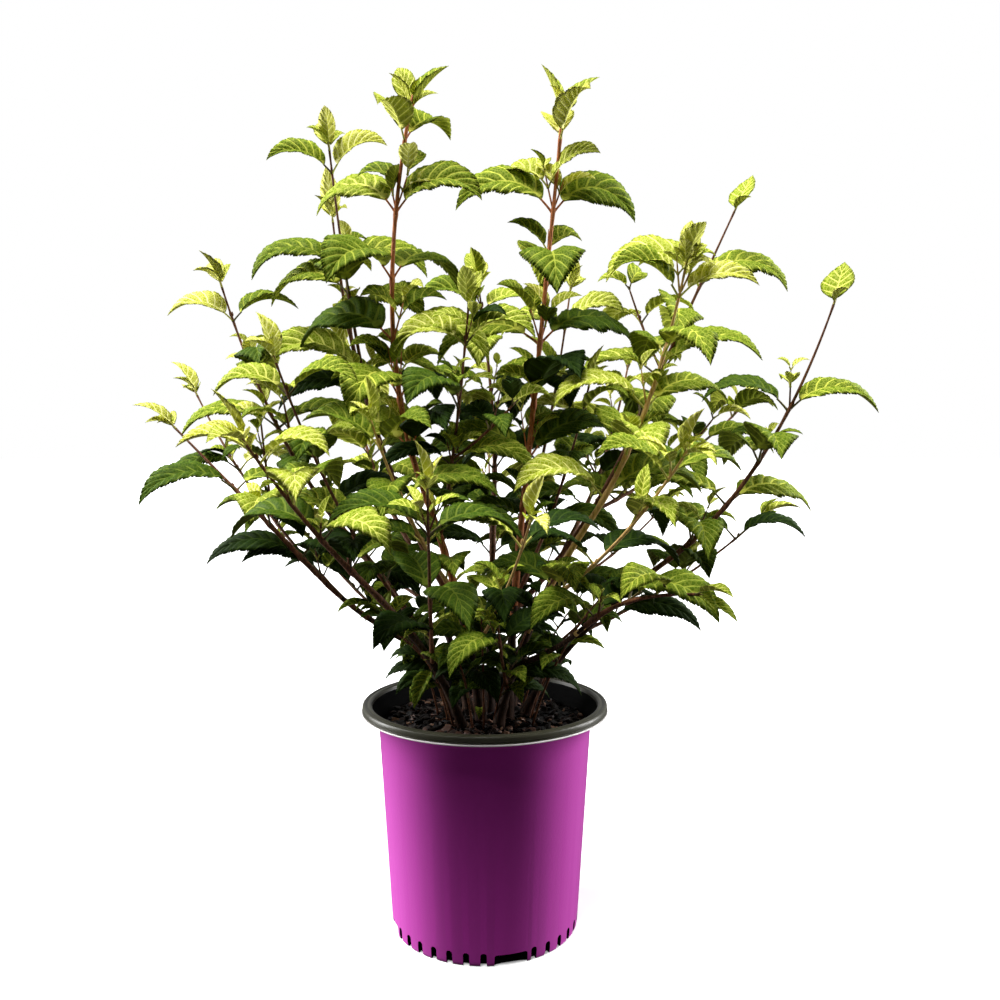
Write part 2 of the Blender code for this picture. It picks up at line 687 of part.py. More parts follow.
def build():
    clear_scene()
    plant = new_collection("potted_doublefile_viburnum")
    cutters = new_collection("cutters", hidden=True)
    bark = material("stem_bark", STEM_BROWN, 0.6)
    pot = turned("pot", pot_profile(), plant, material("purple_plastic", POT_PURPLE, 0.3))
    cut_foot(pot, cutters)
    soil = turned("soil", soil_profile(), plant, material("potting_bark", SOIL_BROWN, 0.9))
    bpy.context.view_layer.update()
    placed = Placed()
    placed.add("pot", evaluated_mesh(pot))
    placed.add("soil", evaluated_mesh(soil))

    limbs = {}
    for name, foot, tip, wide, slim in STEMS:
        stem = Limb(stem_curve(foot, tip), (wide, slim))
        limbs[name], mesh = place_limb(name, stem, lambda one: stem_mesh(name, one, cutters), placed)
        mesh_object(name, mesh, plant, bark)
    for name, parent, share, tip, wide, slim in BOUGHS:
        bough = side_limb(limbs[parent], share, tip, (wide, slim))
        limbs[name], mesh = place_limb(
            name, bough, lambda one: bough_mesh(name, one, cutters), placed, parent
        )
        mesh_object(name, mesh, plant, bark)

    shoots = []
    for name, parent, share, tip, *growth in SPRAYS:
        shoot = side_limb(limbs[parent], share, tip, (SHOOT_FOOT, SHOOT_TIP))
        limb, mesh = place_limb(name, shoot, lambda one: shoot_mesh(name, one, SHOOT_STEPS), placed, parent)
        shoots.append((name, limb, mesh, *growth))
    for number, shoot in enumerate(shoots, 1):
        grow_spray(number, *shoot, placed, plant)

    stand = bpy.data.objects.new("plant_stand", None)
    for thing in list(plant.objects):
        thing.parent = stand
    plant.objects.link(stand)


build()
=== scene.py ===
# %% [markdown]
# # A potted doublefile viburnum
#
# This lesson dresses a plain solid model of a young shrub in a nursery pot. The model is
# loaded first and never changes. Each visible piece is then built around it: the glossy
# pot, the bark chips, the stems with their bark, and every leaf with its folded veins.

import math
import random

import bmesh
import bpy
import numpy as np
from mathutils import Matrix, Vector, noise
from mathutils.bvhtree import BVHTree


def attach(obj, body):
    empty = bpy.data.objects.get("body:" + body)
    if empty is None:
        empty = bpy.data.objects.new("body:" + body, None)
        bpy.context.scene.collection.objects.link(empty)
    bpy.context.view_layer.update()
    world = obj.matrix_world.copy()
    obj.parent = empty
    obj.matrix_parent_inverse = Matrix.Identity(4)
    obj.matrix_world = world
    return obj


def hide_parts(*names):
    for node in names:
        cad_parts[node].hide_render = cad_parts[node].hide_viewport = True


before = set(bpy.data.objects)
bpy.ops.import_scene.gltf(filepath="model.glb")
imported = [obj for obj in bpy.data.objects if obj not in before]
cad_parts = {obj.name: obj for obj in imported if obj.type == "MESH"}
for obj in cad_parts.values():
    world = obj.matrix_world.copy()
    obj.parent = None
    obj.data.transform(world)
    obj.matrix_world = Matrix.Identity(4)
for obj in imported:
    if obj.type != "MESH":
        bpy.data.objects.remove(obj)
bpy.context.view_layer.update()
UP = Vector((0, 0, 1))

# %% [markdown]
# ## The camera
#
# The picture was taken a little above the middle of the crown and slightly downwards. The
# pot's rim and foot show as ellipses, and how open they are gives the height and distance.

# %% Camera
EYE = (0.0137, -0.85, 0.436)
LOOK_DOWN = 0.0587  # radians
LENS, SENSOR = 34.0, 36.0


def place_camera():
    data = bpy.data.cameras.new("photo_camera")
    data.lens, data.sensor_width = LENS, SENSOR
    camera = bpy.data.objects.new("photo_camera", data)
    camera.location = EYE
    camera.rotation_euler = (math.pi / 2 - LOOK_DOWN, 0, 0)
    bpy.context.scene.collection.objects.link(camera)
    bpy.context.scene.camera = camera
    return camera


print("Camera at", tuple(place_camera().location))

# %% [markdown]
# ## Finishes from small groups
#
# A finish that looks real is never one flat colour. Three effects come back all over this
# plant, so each is a node group, built once and placed in many materials: a mottle that
# drifts a colour lighter and darker, streaks that run along bark, and a net of fine veins
# for the leaves. Each also gives a height, which a Bump node turns into fine relief.

# %% Tools for node groups
def new_group(name, inputs, outputs):
    """An empty shader node group with named sockets."""
    tree = bpy.data.node_groups.new(name, "ShaderNodeTree")
    for title, kind, value in inputs:
        socket = tree.interface.new_socket(name=title, in_out="INPUT", socket_type=kind)
        socket.default_value = value
    for title, kind in outputs:
        tree.interface.new_socket(name=title, in_out="OUTPUT", socket_type=kind)
    return tree, tree.nodes.new("NodeGroupInput"), tree.nodes.new("NodeGroupOutput")


def set_inputs(tree, node, values):
    """Plain values or links on a node's inputs, by name or number."""
    for name, value in values.items():
        if isinstance(value, bpy.types.NodeSocket):
            tree.links.new(value, node.inputs[name])
        else:
            node.inputs[name].default_value = value


def add_node(tree, kind, values=None, **settings):
    """A node with these settings, and with plain values or links on its inputs."""
    made = tree.nodes.new(kind)
    for name, value in settings.items():
        setattr(made, name, value)
    set_inputs(tree, made, values or {})
    return made


COLOUR, NUMBER = "NodeSocketColor", "NodeSocketFloat"
WHITE, BLACK = (1, 1, 1, 1), (0, 0, 0, 1)

# %% The mottle group
def build_mottle():
    """Colour that drifts in patches, with a fine grain as height."""
    tree, given, result = new_group(
        "mottle",
        [("Color", COLOUR, WHITE), ("Drift", NUMBER, 0.3), ("Patch Scale", NUMBER, 40),
         ("Grain Scale", NUMBER, 900)],
        [("Color", COLOUR), ("Height", NUMBER), ("Mask", NUMBER)],
    )
    given = given.outputs
    where = add_node(tree, "ShaderNodeTexCoord").outputs["Object"]
    patch = add_node(tree, "ShaderNodeTexNoise", {
        "Vector": where, "Scale": given["Patch Scale"], "Detail": 3.0, "Roughness": 0.6})
    grain = add_node(tree, "ShaderNodeTexNoise", {
        "Vector": where, "Scale": given["Grain Scale"], "Detail": 2.0})
    lift = add_node(tree, "ShaderNodeMath", {
        0: given["Drift"], 1: -0.5, 2: 1.0}, operation="MULTIPLY_ADD")
    swing = add_node(tree, "ShaderNodeMath", {
        0: patch.outputs["Fac"], 1: given["Drift"], 2: lift.outputs[0]}, operation="MULTIPLY_ADD")
    shade = add_node(tree, "ShaderNodeHueSaturation", {
        "Color": given["Color"], "Value": swing.outputs[0]})
    set_inputs(tree, result, {
        "Color": shade.outputs["Color"], "Height": grain.outputs["Fac"],
        "Mask": patch.outputs["Fac"]})
    return tree


MOTTLE = build_mottle()
print("Group:", MOTTLE.name)

# %% The streaks group
def build_streaks():
    """Two colours in fibres that run up the plant, with pale specks, and their height."""
    tree, given, result = new_group(
        "streaks",
        [("Color", COLOUR, WHITE), ("Dark", COLOUR, BLACK), ("Speck", COLOUR, WHITE),
         ("Scale", NUMBER, 700)],
        [("Color", COLOUR), ("Height", NUMBER)],
    )
    given = given.outputs
    where = add_node(tree, "ShaderNodeTexCoord").outputs["Object"]
    drawn = add_node(tree, "ShaderNodeMapping", {"Vector": where, "Scale": (1, 1, 0.12)})
    fibre = add_node(tree, "ShaderNodeTexNoise", {
        "Vector": drawn.outputs["Vector"], "Scale": given["Scale"], "Detail": 4.0,
        "Roughness": 0.65})
    share = add_node(tree, "ShaderNodeMapRange", {
        "Value": fibre.outputs["Fac"], "From Min": 0.38, "From Max": 0.62})
    blend = add_node(tree, "ShaderNodeMix", {
        "Factor": share.outputs["Result"], "A": given["Dark"], "B": given["Color"]},
        data_type="RGBA")
    dots = add_node(tree, "ShaderNodeTexVoronoi", {"Vector": where, "Scale": 260.0})
    speck = add_node(tree, "ShaderNodeMapRange", {
        "Value": dots.outputs["Distance"], "From Min": 0.16, "From Max": 0.10})
    spotted = add_node(tree, "ShaderNodeMix", {
        "Factor": speck.outputs["Result"], "A": blend.outputs["Result"], "B": given["Speck"]},
        data_type="RGBA")
    set_inputs(tree, result, {
        "Color": spotted.outputs["Result"], "Height": fibre.outputs["Fac"]})
    return tree


STREAKS = build_streaks()
print("Group:", STREAKS.name)

# %% The net group
def build_net():
    """Fine veins joined in a net over a colour, and the height of the skin between them."""
    tree, given, result = new_group(
        "net",
        [("Color", COLOUR, WHITE), ("Line", COLOUR, WHITE), ("Scale", NUMBER, 330),
         ("Amount", NUMBER, 0.5)],
        [("Color", COLOUR), ("Height", NUMBER)],
    )
    given = given.outputs
    where = add_node(tree, "ShaderNodeTexCoord").outputs["Object"]
    cells = add_node(tree, "ShaderNodeTexVoronoi", {
        "Vector": where, "Scale": given["Scale"]}, feature="DISTANCE_TO_EDGE")
    line = add_node(tree, "ShaderNodeMapRange", {
        "Value": cells.outputs["Distance"], "From Min": 0.02, "From Max": 0.16,
        "To Min": 1.0, "To Max": 0.0})
    share = add_node(tree, "ShaderNodeMath", {
        0: line.outputs["Result"], 1: given["Amount"]}, operation="MULTIPLY")
    blend = add_node(tree, "ShaderNodeMix", {
        "Factor": share.outputs[0], "A": given["Color"], "B": given["Line"]}, data_type="RGBA")
    height = add_node(tree, "ShaderNodeMapRange", {
        "Value": cells.outputs["Distance"], "From Max": 0.3})
    set_inputs(tree, result, {
        "Color": blend.outputs["Result"], "Height": height.outputs["Result"]})
    return tree


NET = build_net()
print("Group:", NET.name)

# %% Finishes made with the groups
MASK_SWING = 0.08  # how far a mottled finish's roughness swings either way


def new_finish(name, colour, roughness, specular=0.5, coat=0.0):
    """A material with plain settings on its shader. What varies is linked in afterwards."""
    made = bpy.data.materials.new(name)
    made.use_nodes = True
    made.diffuse_color = (*colour, 1)
    shader = made.node_tree.nodes["Principled BSDF"]
    set_inputs(made.node_tree, shader, {
        "Roughness": roughness, "Specular IOR Level": specular, "Coat Weight": coat})
    return made, made.node_tree, shader


def add_bump(tree, shader, height, depth):
    """Relief on a shader, on top of any that it has."""
    bump = add_node(tree, "ShaderNodeBump", {"Height": height, "Distance": depth, "Strength": 1.0})
    for link in shader.inputs["Normal"].links:
        tree.links.new(link.from_socket, bump.inputs["Normal"])
    tree.links.new(bump.outputs["Normal"], shader.inputs["Normal"])


def mottled(name, colour, roughness, drift=0.3, patch=40.0, grain=900.0, depth=0.0002,
            specular=0.5, coat=0.0):
    """A finish whose colour drifts in patches and whose surface has a fine grain."""
    made, tree, shader = new_finish(name, colour, roughness, specular, coat)
    group = add_node(tree, "ShaderNodeGroup", {
        "Color": (*colour, 1), "Drift": drift, "Patch Scale": patch, "Grain Scale": grain},
        node_tree=MOTTLE)
    rough = add_node(tree, "ShaderNodeMapRange", {
        "Value": group.outputs["Mask"], "To Min": roughness - MASK_SWING,
        "To Max": roughness + MASK_SWING})
    set_inputs(tree, shader, {
        "Base Color": group.outputs["Color"], "Roughness": rough.outputs["Result"]})
    add_bump(tree, shader, group.outputs["Height"], depth)
    return made


def barked(name, colour, dark, speck, roughness=0.55, depth=0.0003):
    """A bark: fibres of two colours and pale specks."""
    made, tree, shader = new_finish(name, colour, roughness, 0.12)
    group = add_node(tree, "ShaderNodeGroup", {
        "Color": (*colour, 1), "Dark": (*dark, 1), "Speck": (*speck, 1)}, node_tree=STREAKS)
    tree.links.new(group.outputs["Color"], shader.inputs["Base Color"])
    add_bump(tree, shader, group.outputs["Height"], depth)
    return made


# %% Tools for meshes
def add_object(name, mesh):
    thing = bpy.data.objects.new(name, mesh)
    bpy.context.scene.collection.objects.link(thing)
    return thing


def from_bmesh(name, bm):
    """An object with the mesh that was worked on in a bmesh."""
    mesh = bpy.data.meshes.new(name)
    bm.to_mesh(mesh)
    bm.free()
    return add_object(name, mesh)


class Heap:
    """Many small meshes gathered into one, each face with the number of its finish."""

    def __init__(self):
        self.points, self.faces, self.parts = [], [], []
        self.count = 0

    def add(self, points, faces, parts):
        self.points.append(np.asarray(points, float))
        self.faces += [tuple(corner + self.count for corner in face) for face in faces]
        self.parts += parts
        self.count += len(points)

    def add_plain(self, shape, part):
        """Points and faces that all take the same finish."""
        points, faces = shape
        self.add(points, faces, [part] * len(faces))

    def triangles(self):
        return sum(len(face) - 2 for face in self.faces)

    def build(self, name, finishes):
        mesh = bpy.data.meshes.new(name)
        mesh.from_pydata(np.concatenate(self.points).tolist(), [], self.faces)
        for finish in finishes:
            mesh.materials.append(finish)
        mesh.polygons.foreach_set("material_index", self.parts)
        mesh.shade_smooth()
        return add_object(name, mesh)


def finish_piece(thing, slot, *nodes):
    """Every piece of this plant rides on its one body."""
    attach(thing, "root")
    if nodes:
        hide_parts(*nodes)
    return thing


# %% [markdown]
# ## Floor and light
#
# A plain pale floor under soft studio light. The picture is lit from above and from a bright
# white surround behind, and hardly at all from the camera's side. That is what makes both
# edges of the pot glow while its middle stays dark, and lets the inside of the crown fall
# into deep shade. So a broad soft sun stands overhead, a tall strip stands at either side
# and a large soft panel behind, and the floor gives back little light of its own.

# %% Floor
FLOOR_RADIUS = 30.0
FLOOR_DROP = 0.0004  # below the pot's foot
FLOOR_GLOW = 0.30
FLOOR_FELT, FLOOR_SEEN = (0.05, 0.05, 0.05), (0.9, 0.9, 0.9)


def floor_finish():
    """Pale to the eye, and a dim grey to the light that falls on it and bounces up."""
    made = mottled("pale_floor", FLOOR_FELT, 0.8, 0.02, 3.0, 300.0, 0.0001, 0.0)
    tree = made.node_tree
    seen = add_node(tree, "ShaderNodeLightPath").outputs["Is Camera Ray"]
    glow = add_node(tree, "ShaderNodeEmission", {"Color": WHITE, "Strength": FLOOR_GLOW})
    pale = add_node(tree, "ShaderNodeBsdfDiffuse", {"Color": (*FLOOR_SEEN, 1)})
    both = add_node(tree, "ShaderNodeAddShader", {0: pale.outputs[0], 1: glow.outputs[0]})
    felt = tree.nodes["Principled BSDF"].outputs[0]
    choice = add_node(tree, "ShaderNodeMixShader", {"Fac": seen, 1: felt, 2: both.outputs[0]})
    tree.links.new(choice.outputs[0], tree.nodes["Material Output"].inputs["Surface"])
    return made


def build_floor():
    bm = bmesh.new()
    bmesh.ops.create_circle(bm, cap_ends=True, segments=96, radius=FLOOR_RADIUS)
    bmesh.ops.translate(bm, verts=bm.verts, vec=(0, 0, -FLOOR_DROP))
    floor = from_bmesh("studio_floor", bm)
    floor.data.materials.append(floor_finish())
    return floor


print("Floor across:", build_floor().dimensions.x, "m")

# %% Lights
def add_lamp(name, kind, place, aim, **settings):
    """A lamp turned to its aim. Only a sun may be seen by the camera."""
    data = bpy.data.lights.new(name, kind)
    for title, value in settings.items():
        setattr(data, title, value)
    lamp = add_object(name, data)
    lamp.location = place
    lamp.rotation_euler = (Vector(aim) - Vector(place)).to_track_quat("-Z", "Y").to_euler()
    lamp.visible_camera = kind == "SUN"


def add_softbox(name, place, aim, size, power):
    wide, tall = size
    add_lamp(name, "AREA", place, aim, shape="RECTANGLE", size=wide, size_y=tall, energy=power)


def light_world(seen, felt):
    """White where the camera looks past the floor, dimmer as a light."""
    world = bpy.data.worlds.new("studio")
    world.use_nodes = True
    tree = world.node_tree
    looked_at = add_node(tree, "ShaderNodeLightPath").outputs["Is Camera Ray"]
    strength = add_node(tree, "ShaderNodeMapRange", {
        "Value": looked_at, "To Min": felt, "To Max": seen})
    set_inputs(tree, tree.nodes["Background"], {
        "Color": WHITE, "Strength": strength.outputs["Result"]})
    bpy.context.scene.world = world


bpy.context.scene.view_settings.view_transform = "Standard"
light_world(seen=1.0, felt=0.085)
# A sun as wide in the sky as a large soft box close overhead.
add_lamp("soft_sun", "SUN", (-0.22, -0.20, 1), (0, 0, 0), angle=math.radians(36), energy=6.6)
add_softbox("panel_behind", (0, 2.2, 1.1), (0, 0, 0.5), (4.2, 2.4), 13)
add_softbox("strip_left", (-1.5, 0.36, 0.6), (0, 0, 0.25), (0.45, 1.8), 58)
add_softbox("strip_right", (1.5, 0.42, 0.6), (0, 0, 0.25), (0.45, 1.8), 53)
print("Lights:", len(bpy.data.lights))

# %% [markdown]
# ## The pot
#
# Such a pot is moulded in one thin shell, so it is one turned shell here: half a section,
# spun by a Screw modifier. Its section rolls over the rim, hangs down in a skirt and comes
# back up under it. The foot is then cut by a Boolean with short round-topped notches and
# four wide drains.

# %% Pot sizes
RIM_RADIUS = 0.111
POT_HEIGHT = 0.204
BASE_RADIUS = 0.0845
WALL = 0.0018
LIP_WIDTH = 0.009
LIP_DEPTH = 0.0078
LIP_ROLL = 0.0044
LIP_SQUARE = 0.55  # under 1 the roll has squarer shoulders
LIP_DIP, DIP_WIDTH = 0.0014, 0.35  # between the beads along its two edges
SHOULDER_DROP = 0.016
SHOULDER_RADIUS = 0.0963
SOIL_TOP = 0.185
FLOOR_RISE = 0.0024  # of the pot's floor above its foot
FOOT_WIDTH = 0.0024
SPIN_STEPS = 192
NOTCHES = 36
NOTCH_WIDTH, NOTCH_HEIGHT = 0.0054, 0.0115
DRAINS = 4
DRAIN_WIDTH, DRAIN_HEIGHT = 0.029, 0.0098
DRAIN_BEARING = -74  # degrees
NOTCH_ROUND = 0.0024
CUT_INSIDE, CUT_OUTSIDE = 0.0036, 0.006  # how far the cutters reach either side of the foot


def lip_arc(inset, steps=22):
    """The rolled top of the lip, from its inner side over to its outer side."""
    middle = RIM_RADIUS - LIP_WIDTH / 2
    across, up = LIP_WIDTH / 2 - inset, LIP_ROLL - inset
    points = []
    for k in range(steps + 1):
        turn = math.pi * (1 - k / steps)
        rise = up * abs(math.sin(turn)) ** LIP_SQUARE
        rise -= LIP_DIP * math.exp(-(math.cos(turn) / DIP_WIDTH) ** 2)
        points.append((middle + across * math.cos(turn), POT_HEIGHT - LIP_ROLL + rise))
    return points


def pot_section():
    """Up the inside from the middle of the floor, over the lip and down the outside."""
    shoulder = POT_HEIGHT - SHOULDER_DROP
    skirt = POT_HEIGHT - LIP_DEPTH
    groove = POT_HEIGHT - LIP_ROLL - 0.0012
    return (
        [(0, FLOOR_RISE), (BASE_RADIUS - 0.006, FLOOR_RISE), (BASE_RADIUS - 0.003, FLOOR_RISE + 0.002)]
        + [(SHOULDER_RADIUS - WALL, shoulder), (SHOULDER_RADIUS - WALL + 0.002, shoulder + 0.004)]
        + lip_arc(0)
        + [(RIM_RADIUS, groove + 0.0005), (RIM_RADIUS - 0.0006, groove), (RIM_RADIUS, groove - 0.0005)]
        + [(RIM_RADIUS, skirt + 0.0008), (RIM_RADIUS - 0.0006, skirt), (RIM_RADIUS - WALL, skirt)]
        + lip_arc(WALL)[::-1]
        + [(SHOULDER_RADIUS + 0.0015, shoulder + 0.003), (SHOULDER_RADIUS, shoulder)]
        + [(BASE_RADIUS + 0.0003, 0.004), (BASE_RADIUS - 0.0003, 0.0008), (BASE_RADIUS - 0.0009, 0)]
        + [(BASE_RADIUS - FOOT_WIDTH, 0), (BASE_RADIUS - 0.0032, 0.0006), (0, 0.0006)]
    )


def spun(name, section, steps):
    """A closed solid of revolution about Z, as a mesh object."""
    bm = bmesh.new()
    corners = [bm.verts.new((radius, 0, height)) for radius, height in section]
    for first, second in zip(corners, corners[1:]):
        bm.edges.new((first, second))
    thing = from_bmesh(name, bm)
    turn = thing.modifiers.new("Turn", "SCREW")
    turn.steps = turn.render_steps = steps
    turn.use_merge_vertices = True
    turn.merge_threshold = 0.00002
    return thing


# %% Foot cutters
def notch_outline(width, height, steps=6):
    """Half below the floor, with a round top."""
    round_top = min(width / 2, NOTCH_ROUND)
    corners = [(width / 2, -height)]
    for k in range(steps + 1):
        turn = math.pi * k / steps
        side = math.copysign(width / 2 - round_top, math.cos(turn))
        rise = height - round_top + round_top * math.sin(turn)
        corners.append((side + round_top * math.cos(turn), rise))
    corners.append((-width / 2, -height))
    return corners


def foot_openings():
    """Bearing, width and height of each opening: the drains, and notches clear of them."""
    drains = [math.radians(DRAIN_BEARING) + math.tau * k / DRAINS for k in range(DRAINS)]
    clear = (DRAIN_WIDTH / 2 + NOTCH_WIDTH) / BASE_RADIUS
    openings = [(drain, DRAIN_WIDTH, DRAIN_HEIGHT) for drain in drains]
    for k in range(NOTCHES):
        bearing = math.tau * k / NOTCHES
        if all(abs(math.remainder(bearing - drain, math.tau)) > clear for drain in drains):
            openings.append((bearing, NOTCH_WIDTH, NOTCH_HEIGHT))
    return openings


def build_cutters():
    """Blocks that stand through the wall where an opening is cut."""
    bm = bmesh.new()
    for bearing, width, height in foot_openings():
        turn = Matrix.Rotation(bearing, 3, "Z")
        near, far = BASE_RADIUS - CUT_INSIDE, BASE_RADIUS + CUT_OUTSIDE
        outline = notch_outline(width, height)
        inner = [bm.verts.new(turn @ Vector((near, y, z))) for y, z in outline]
        outer = [bm.verts.new(turn @ Vector((far, y, z))) for y, z in outline]
        bm.faces.new(inner)
        bm.faces.new(outer[::-1])
        for k in range(len(outline)):
            bm.faces.new((inner[k - 1], outer[k - 1], outer[k], inner[k]))
    bmesh.ops.recalc_face_normals(bm, faces=bm.faces)
    return from_bmesh("foot_cutters", bm)


def settled(thing):
    """Replaces an object's mesh by what its modifiers make of it."""
    graph = bpy.context.evaluated_depsgraph_get()
    mesh = bpy.data.meshes.new_from_object(thing.evaluated_get(graph), depsgraph=graph)
    thing.modifiers.clear()
    thing.data = mesh
    return mesh


# %% Pot finishes
# The print is a deep purple. Its sheen and gloss are pink, and both are stronger along the
# surface than straight on, so the sides of the pot look pale and its middle dark.
PRINT_PURPLE = (0.275, 0.004, 0.200)
SHEEN_PINK = (1.0, 0.20, 0.83)
GLOSS_PINK = (1.0, 0.14, 0.80)


def satin_print():
    """Printed plastic with a satin skin: deep seen straight on, pale seen along it."""
    made = mottled("purple_print", PRINT_PURPLE, 0.34, 0.05, 18.0, 500.0, 0.00006, 0.3, 0.08)
    tree = made.node_tree
    set_inputs(tree, tree.nodes["Principled BSDF"], {
        "Sheen Weight": 1.0, "Sheen Roughness": 0.6, "Sheen Tint": (*SHEEN_PINK, 1),
        "Specular Tint": (*GLOSS_PINK, 1)})
    return made


POT_FINISHES = [
    satin_print(),
    mottled("olive_black_rim", (0.042, 0.041, 0.024), 0.38, 0.25, 60.0, 700.0, 0.00008, 0.34),
    mottled("black_inside", (0.003, 0.003, 0.003), 0.8, 0.4, 60.0, 500.0, 0.00015, 0.03),
]
PURPLE, RIM, INSIDE = range(3)
# The skirt's lower edge is a pale bead: the edge's own pale colour with a painted glint on it.
skirt_edge_glint_finish = mottled("pale_edge_glint", (0.80, 0.76, 0.76), 0.4, 0.1, 90.0)


def pot_part(centre, normal):
    """Which finish a face of the pot takes."""
    reach = math.hypot(centre.x, centre.y)
    if centre.z > POT_HEIGHT - LIP_DEPTH - 0.0006 and reach > RIM_RADIUS - LIP_WIDTH - 0.001:
        return RIM
    outward = normal.x * centre.x + normal.y * centre.y
    return PURPLE if outward > 0.3 * reach and reach > BASE_RADIUS - 0.0016 else INSIDE


# %% Build the pot
def build_pot():
    """The turned shell, with its foot cut and its finishes dealt out."""
    pot = spun("pot_shell", pot_section(), SPIN_STEPS)
    cutters = build_cutters()
    cut = pot.modifiers.new("Foot", "BOOLEAN")
    cut.operation, cut.object, cut.solver = "DIFFERENCE", cutters, "EXACT"
    mesh = settled(pot)
    bpy.data.objects.remove(cutters, do_unlink=True)
    mesh.materials.clear()
    for finish in POT_FINISHES:
        mesh.materials.append(finish)
    for face in mesh.polygons:
        face.material_index = pot_part(face.center, face.normal)
    mesh.shade_smooth()
    mesh.set_sharp_from_angle(angle=math.radians(38))
    return finish_piece(pot, "pot", "pot")


def build_edge_glint():
    """A thin pale bead along the skirt's lower edge: the edge's own pale colour with a painted glint on
    it.
    """
    turns = [math.tau * k / 8 for k in range(9)]
    middle, height, radius = RIM_RADIUS, POT_HEIGHT - LIP_DEPTH + 0.0001, 0.0008
    section = [(middle + radius * math.cos(t), height + radius * math.sin(t)) for t in turns]
    ring = spun("pot_skirt_edge_glint", section, SPIN_STEPS)
    mesh = settled(ring)
    mesh.materials.append(skirt_edge_glint_finish)
    mesh.shade_smooth()
    return finish_piece(ring, "pot")


pot_shell = build_pot()
build_edge_glint()
print("Pot faces:", len(pot_shell.data.polygons))

# %% [markdown]
# ## The potting bark
#
# Bark chips aren't a bumpy plane: each one casts its own shadow. Fourteen flat, broken
# chips are shaped first, and fifteen hundred copies are then scattered, tilted and pressed
# into a dark bed. Five browns are dealt out among them. Most are near black: the bark's own
# dark brown with painted shade from the crown. More of the paler ones lie at the front
# left, as painted light where light reaches the bed.

# %% Chip shapes
CHIP_KINDS = 14
CHIPS = 1500
BED_SLOPE = (SHOULDER_RADIUS - BASE_RADIUS) / (POT_HEIGHT - SHOULDER_DROP)
BED_RADIUS = BASE_RADIUS + BED_SLOPE * SOIL_TOP - WALL - 0.0004
# Under the crown the deal is mostly near-black browns, as painted shade. At the front left it is paler
# browns, as painted light.
SHADE_DEAL = (0, 0, 0, 0, 0, 1, 1, 1, 1, 2, 2, 3, 4)
LIT_DEAL = (0, 0, 1, 1, 2, 2, 3, 3, 3, 4)  # at the front left
CHIP_LENGTHS, CHIP_TILT = (0.004, 0.010), 0.35
LARGE_CHANCE, LARGE = 0.12, 1.5


def chip_shape(draw):
    """A flat shard with broken, uneven faces."""
    bm = bmesh.new()
    bmesh.ops.create_icosphere(bm, subdivisions=2, radius=0.5)
    seed = Vector((draw.uniform(0, 50), draw.uniform(0, 50), draw.uniform(0, 50)))
    for corner in bm.verts:
        rough = 1 + 0.55 * noise.noise(corner.co * 2.2 + seed)
        corner.co *= rough + 0.2 * noise.noise(corner.co * 6 + seed)
        corner.co.x = math.copysign(min(abs(corner.co.x), 0.42), corner.co.x)
        corner.co.z = math.copysign(min(abs(corner.co.z), 0.30), corner.co.z)
    bmesh.ops.dissolve_limit(bm, angle_limit=0.12, verts=bm.verts, edges=bm.edges)
    bm.verts.index_update()
    points = np.array([corner.co for corner in bm.verts])
    faces = [tuple(corner.index for corner in face.verts) for face in bm.faces]
    bm.free()
    return points, faces


def scatter_chips():
    """Chips over the whole bed, thrown at random and tilted a little."""
    draw = random.Random(4)
    kinds = [chip_shape(draw) for _ in range(CHIP_KINDS)]
    heap = Heap()
    for number in range(CHIPS):
        points, faces = kinds[number % CHIP_KINDS]
        length = draw.uniform(*CHIP_LENGTHS) * (LARGE if draw.random() < LARGE_CHANCE else 1)
        sizes = Vector((length, length * draw.uniform(0.45, 0.8), length * draw.uniform(0.3, 0.5)))
        reach = (BED_RADIUS - length / 2 - 0.001) * math.sqrt(draw.random())
        around = draw.uniform(0, math.tau)
        roll, pitch = draw.gauss(0, CHIP_TILT), draw.gauss(0, CHIP_TILT)
        tilt = Matrix.Rotation(roll, 3, "X") @ Matrix.Rotation(pitch, 3, "Y")
        turn = np.array(Matrix.Rotation(draw.uniform(0, math.tau), 3, "Z") @ tilt)
        height = SOIL_TOP - 0.0010 + draw.uniform(0, 0.0042) * draw.random()
        place = np.array((reach * math.cos(around), reach * math.sin(around), height))
        lit = place[0] < 0 and place[1] < -0.03
        heap.add((points * np.array(sizes)) @ turn.T + place, faces,
                 [draw.choice(LIT_DEAL if lit else SHADE_DEAL)] * len(faces))
    return heap


# The two near-black browns are the bark's own dark brown deepened into painted shade from the crown.
CHIPS_IN = (
    ("black_brown", (0.004, 0.003, 0.0025), 0.09), ("dark_brown", (0.008, 0.0045, 0.003), 0.09),
    ("brown", (0.022, 0.011, 0.007), 0.2), ("red_brown", (0.085, 0.038, 0.024), 0.35),
    ("tan", (0.23, 0.12, 0.072), 0.35),
)
CHIP_FINISHES = [mottled("chip_" + title, colour, 0.45, 0.6, 300.0, 1500.0, 0.0003, shine)
                 for title, colour, shine in CHIPS_IN]

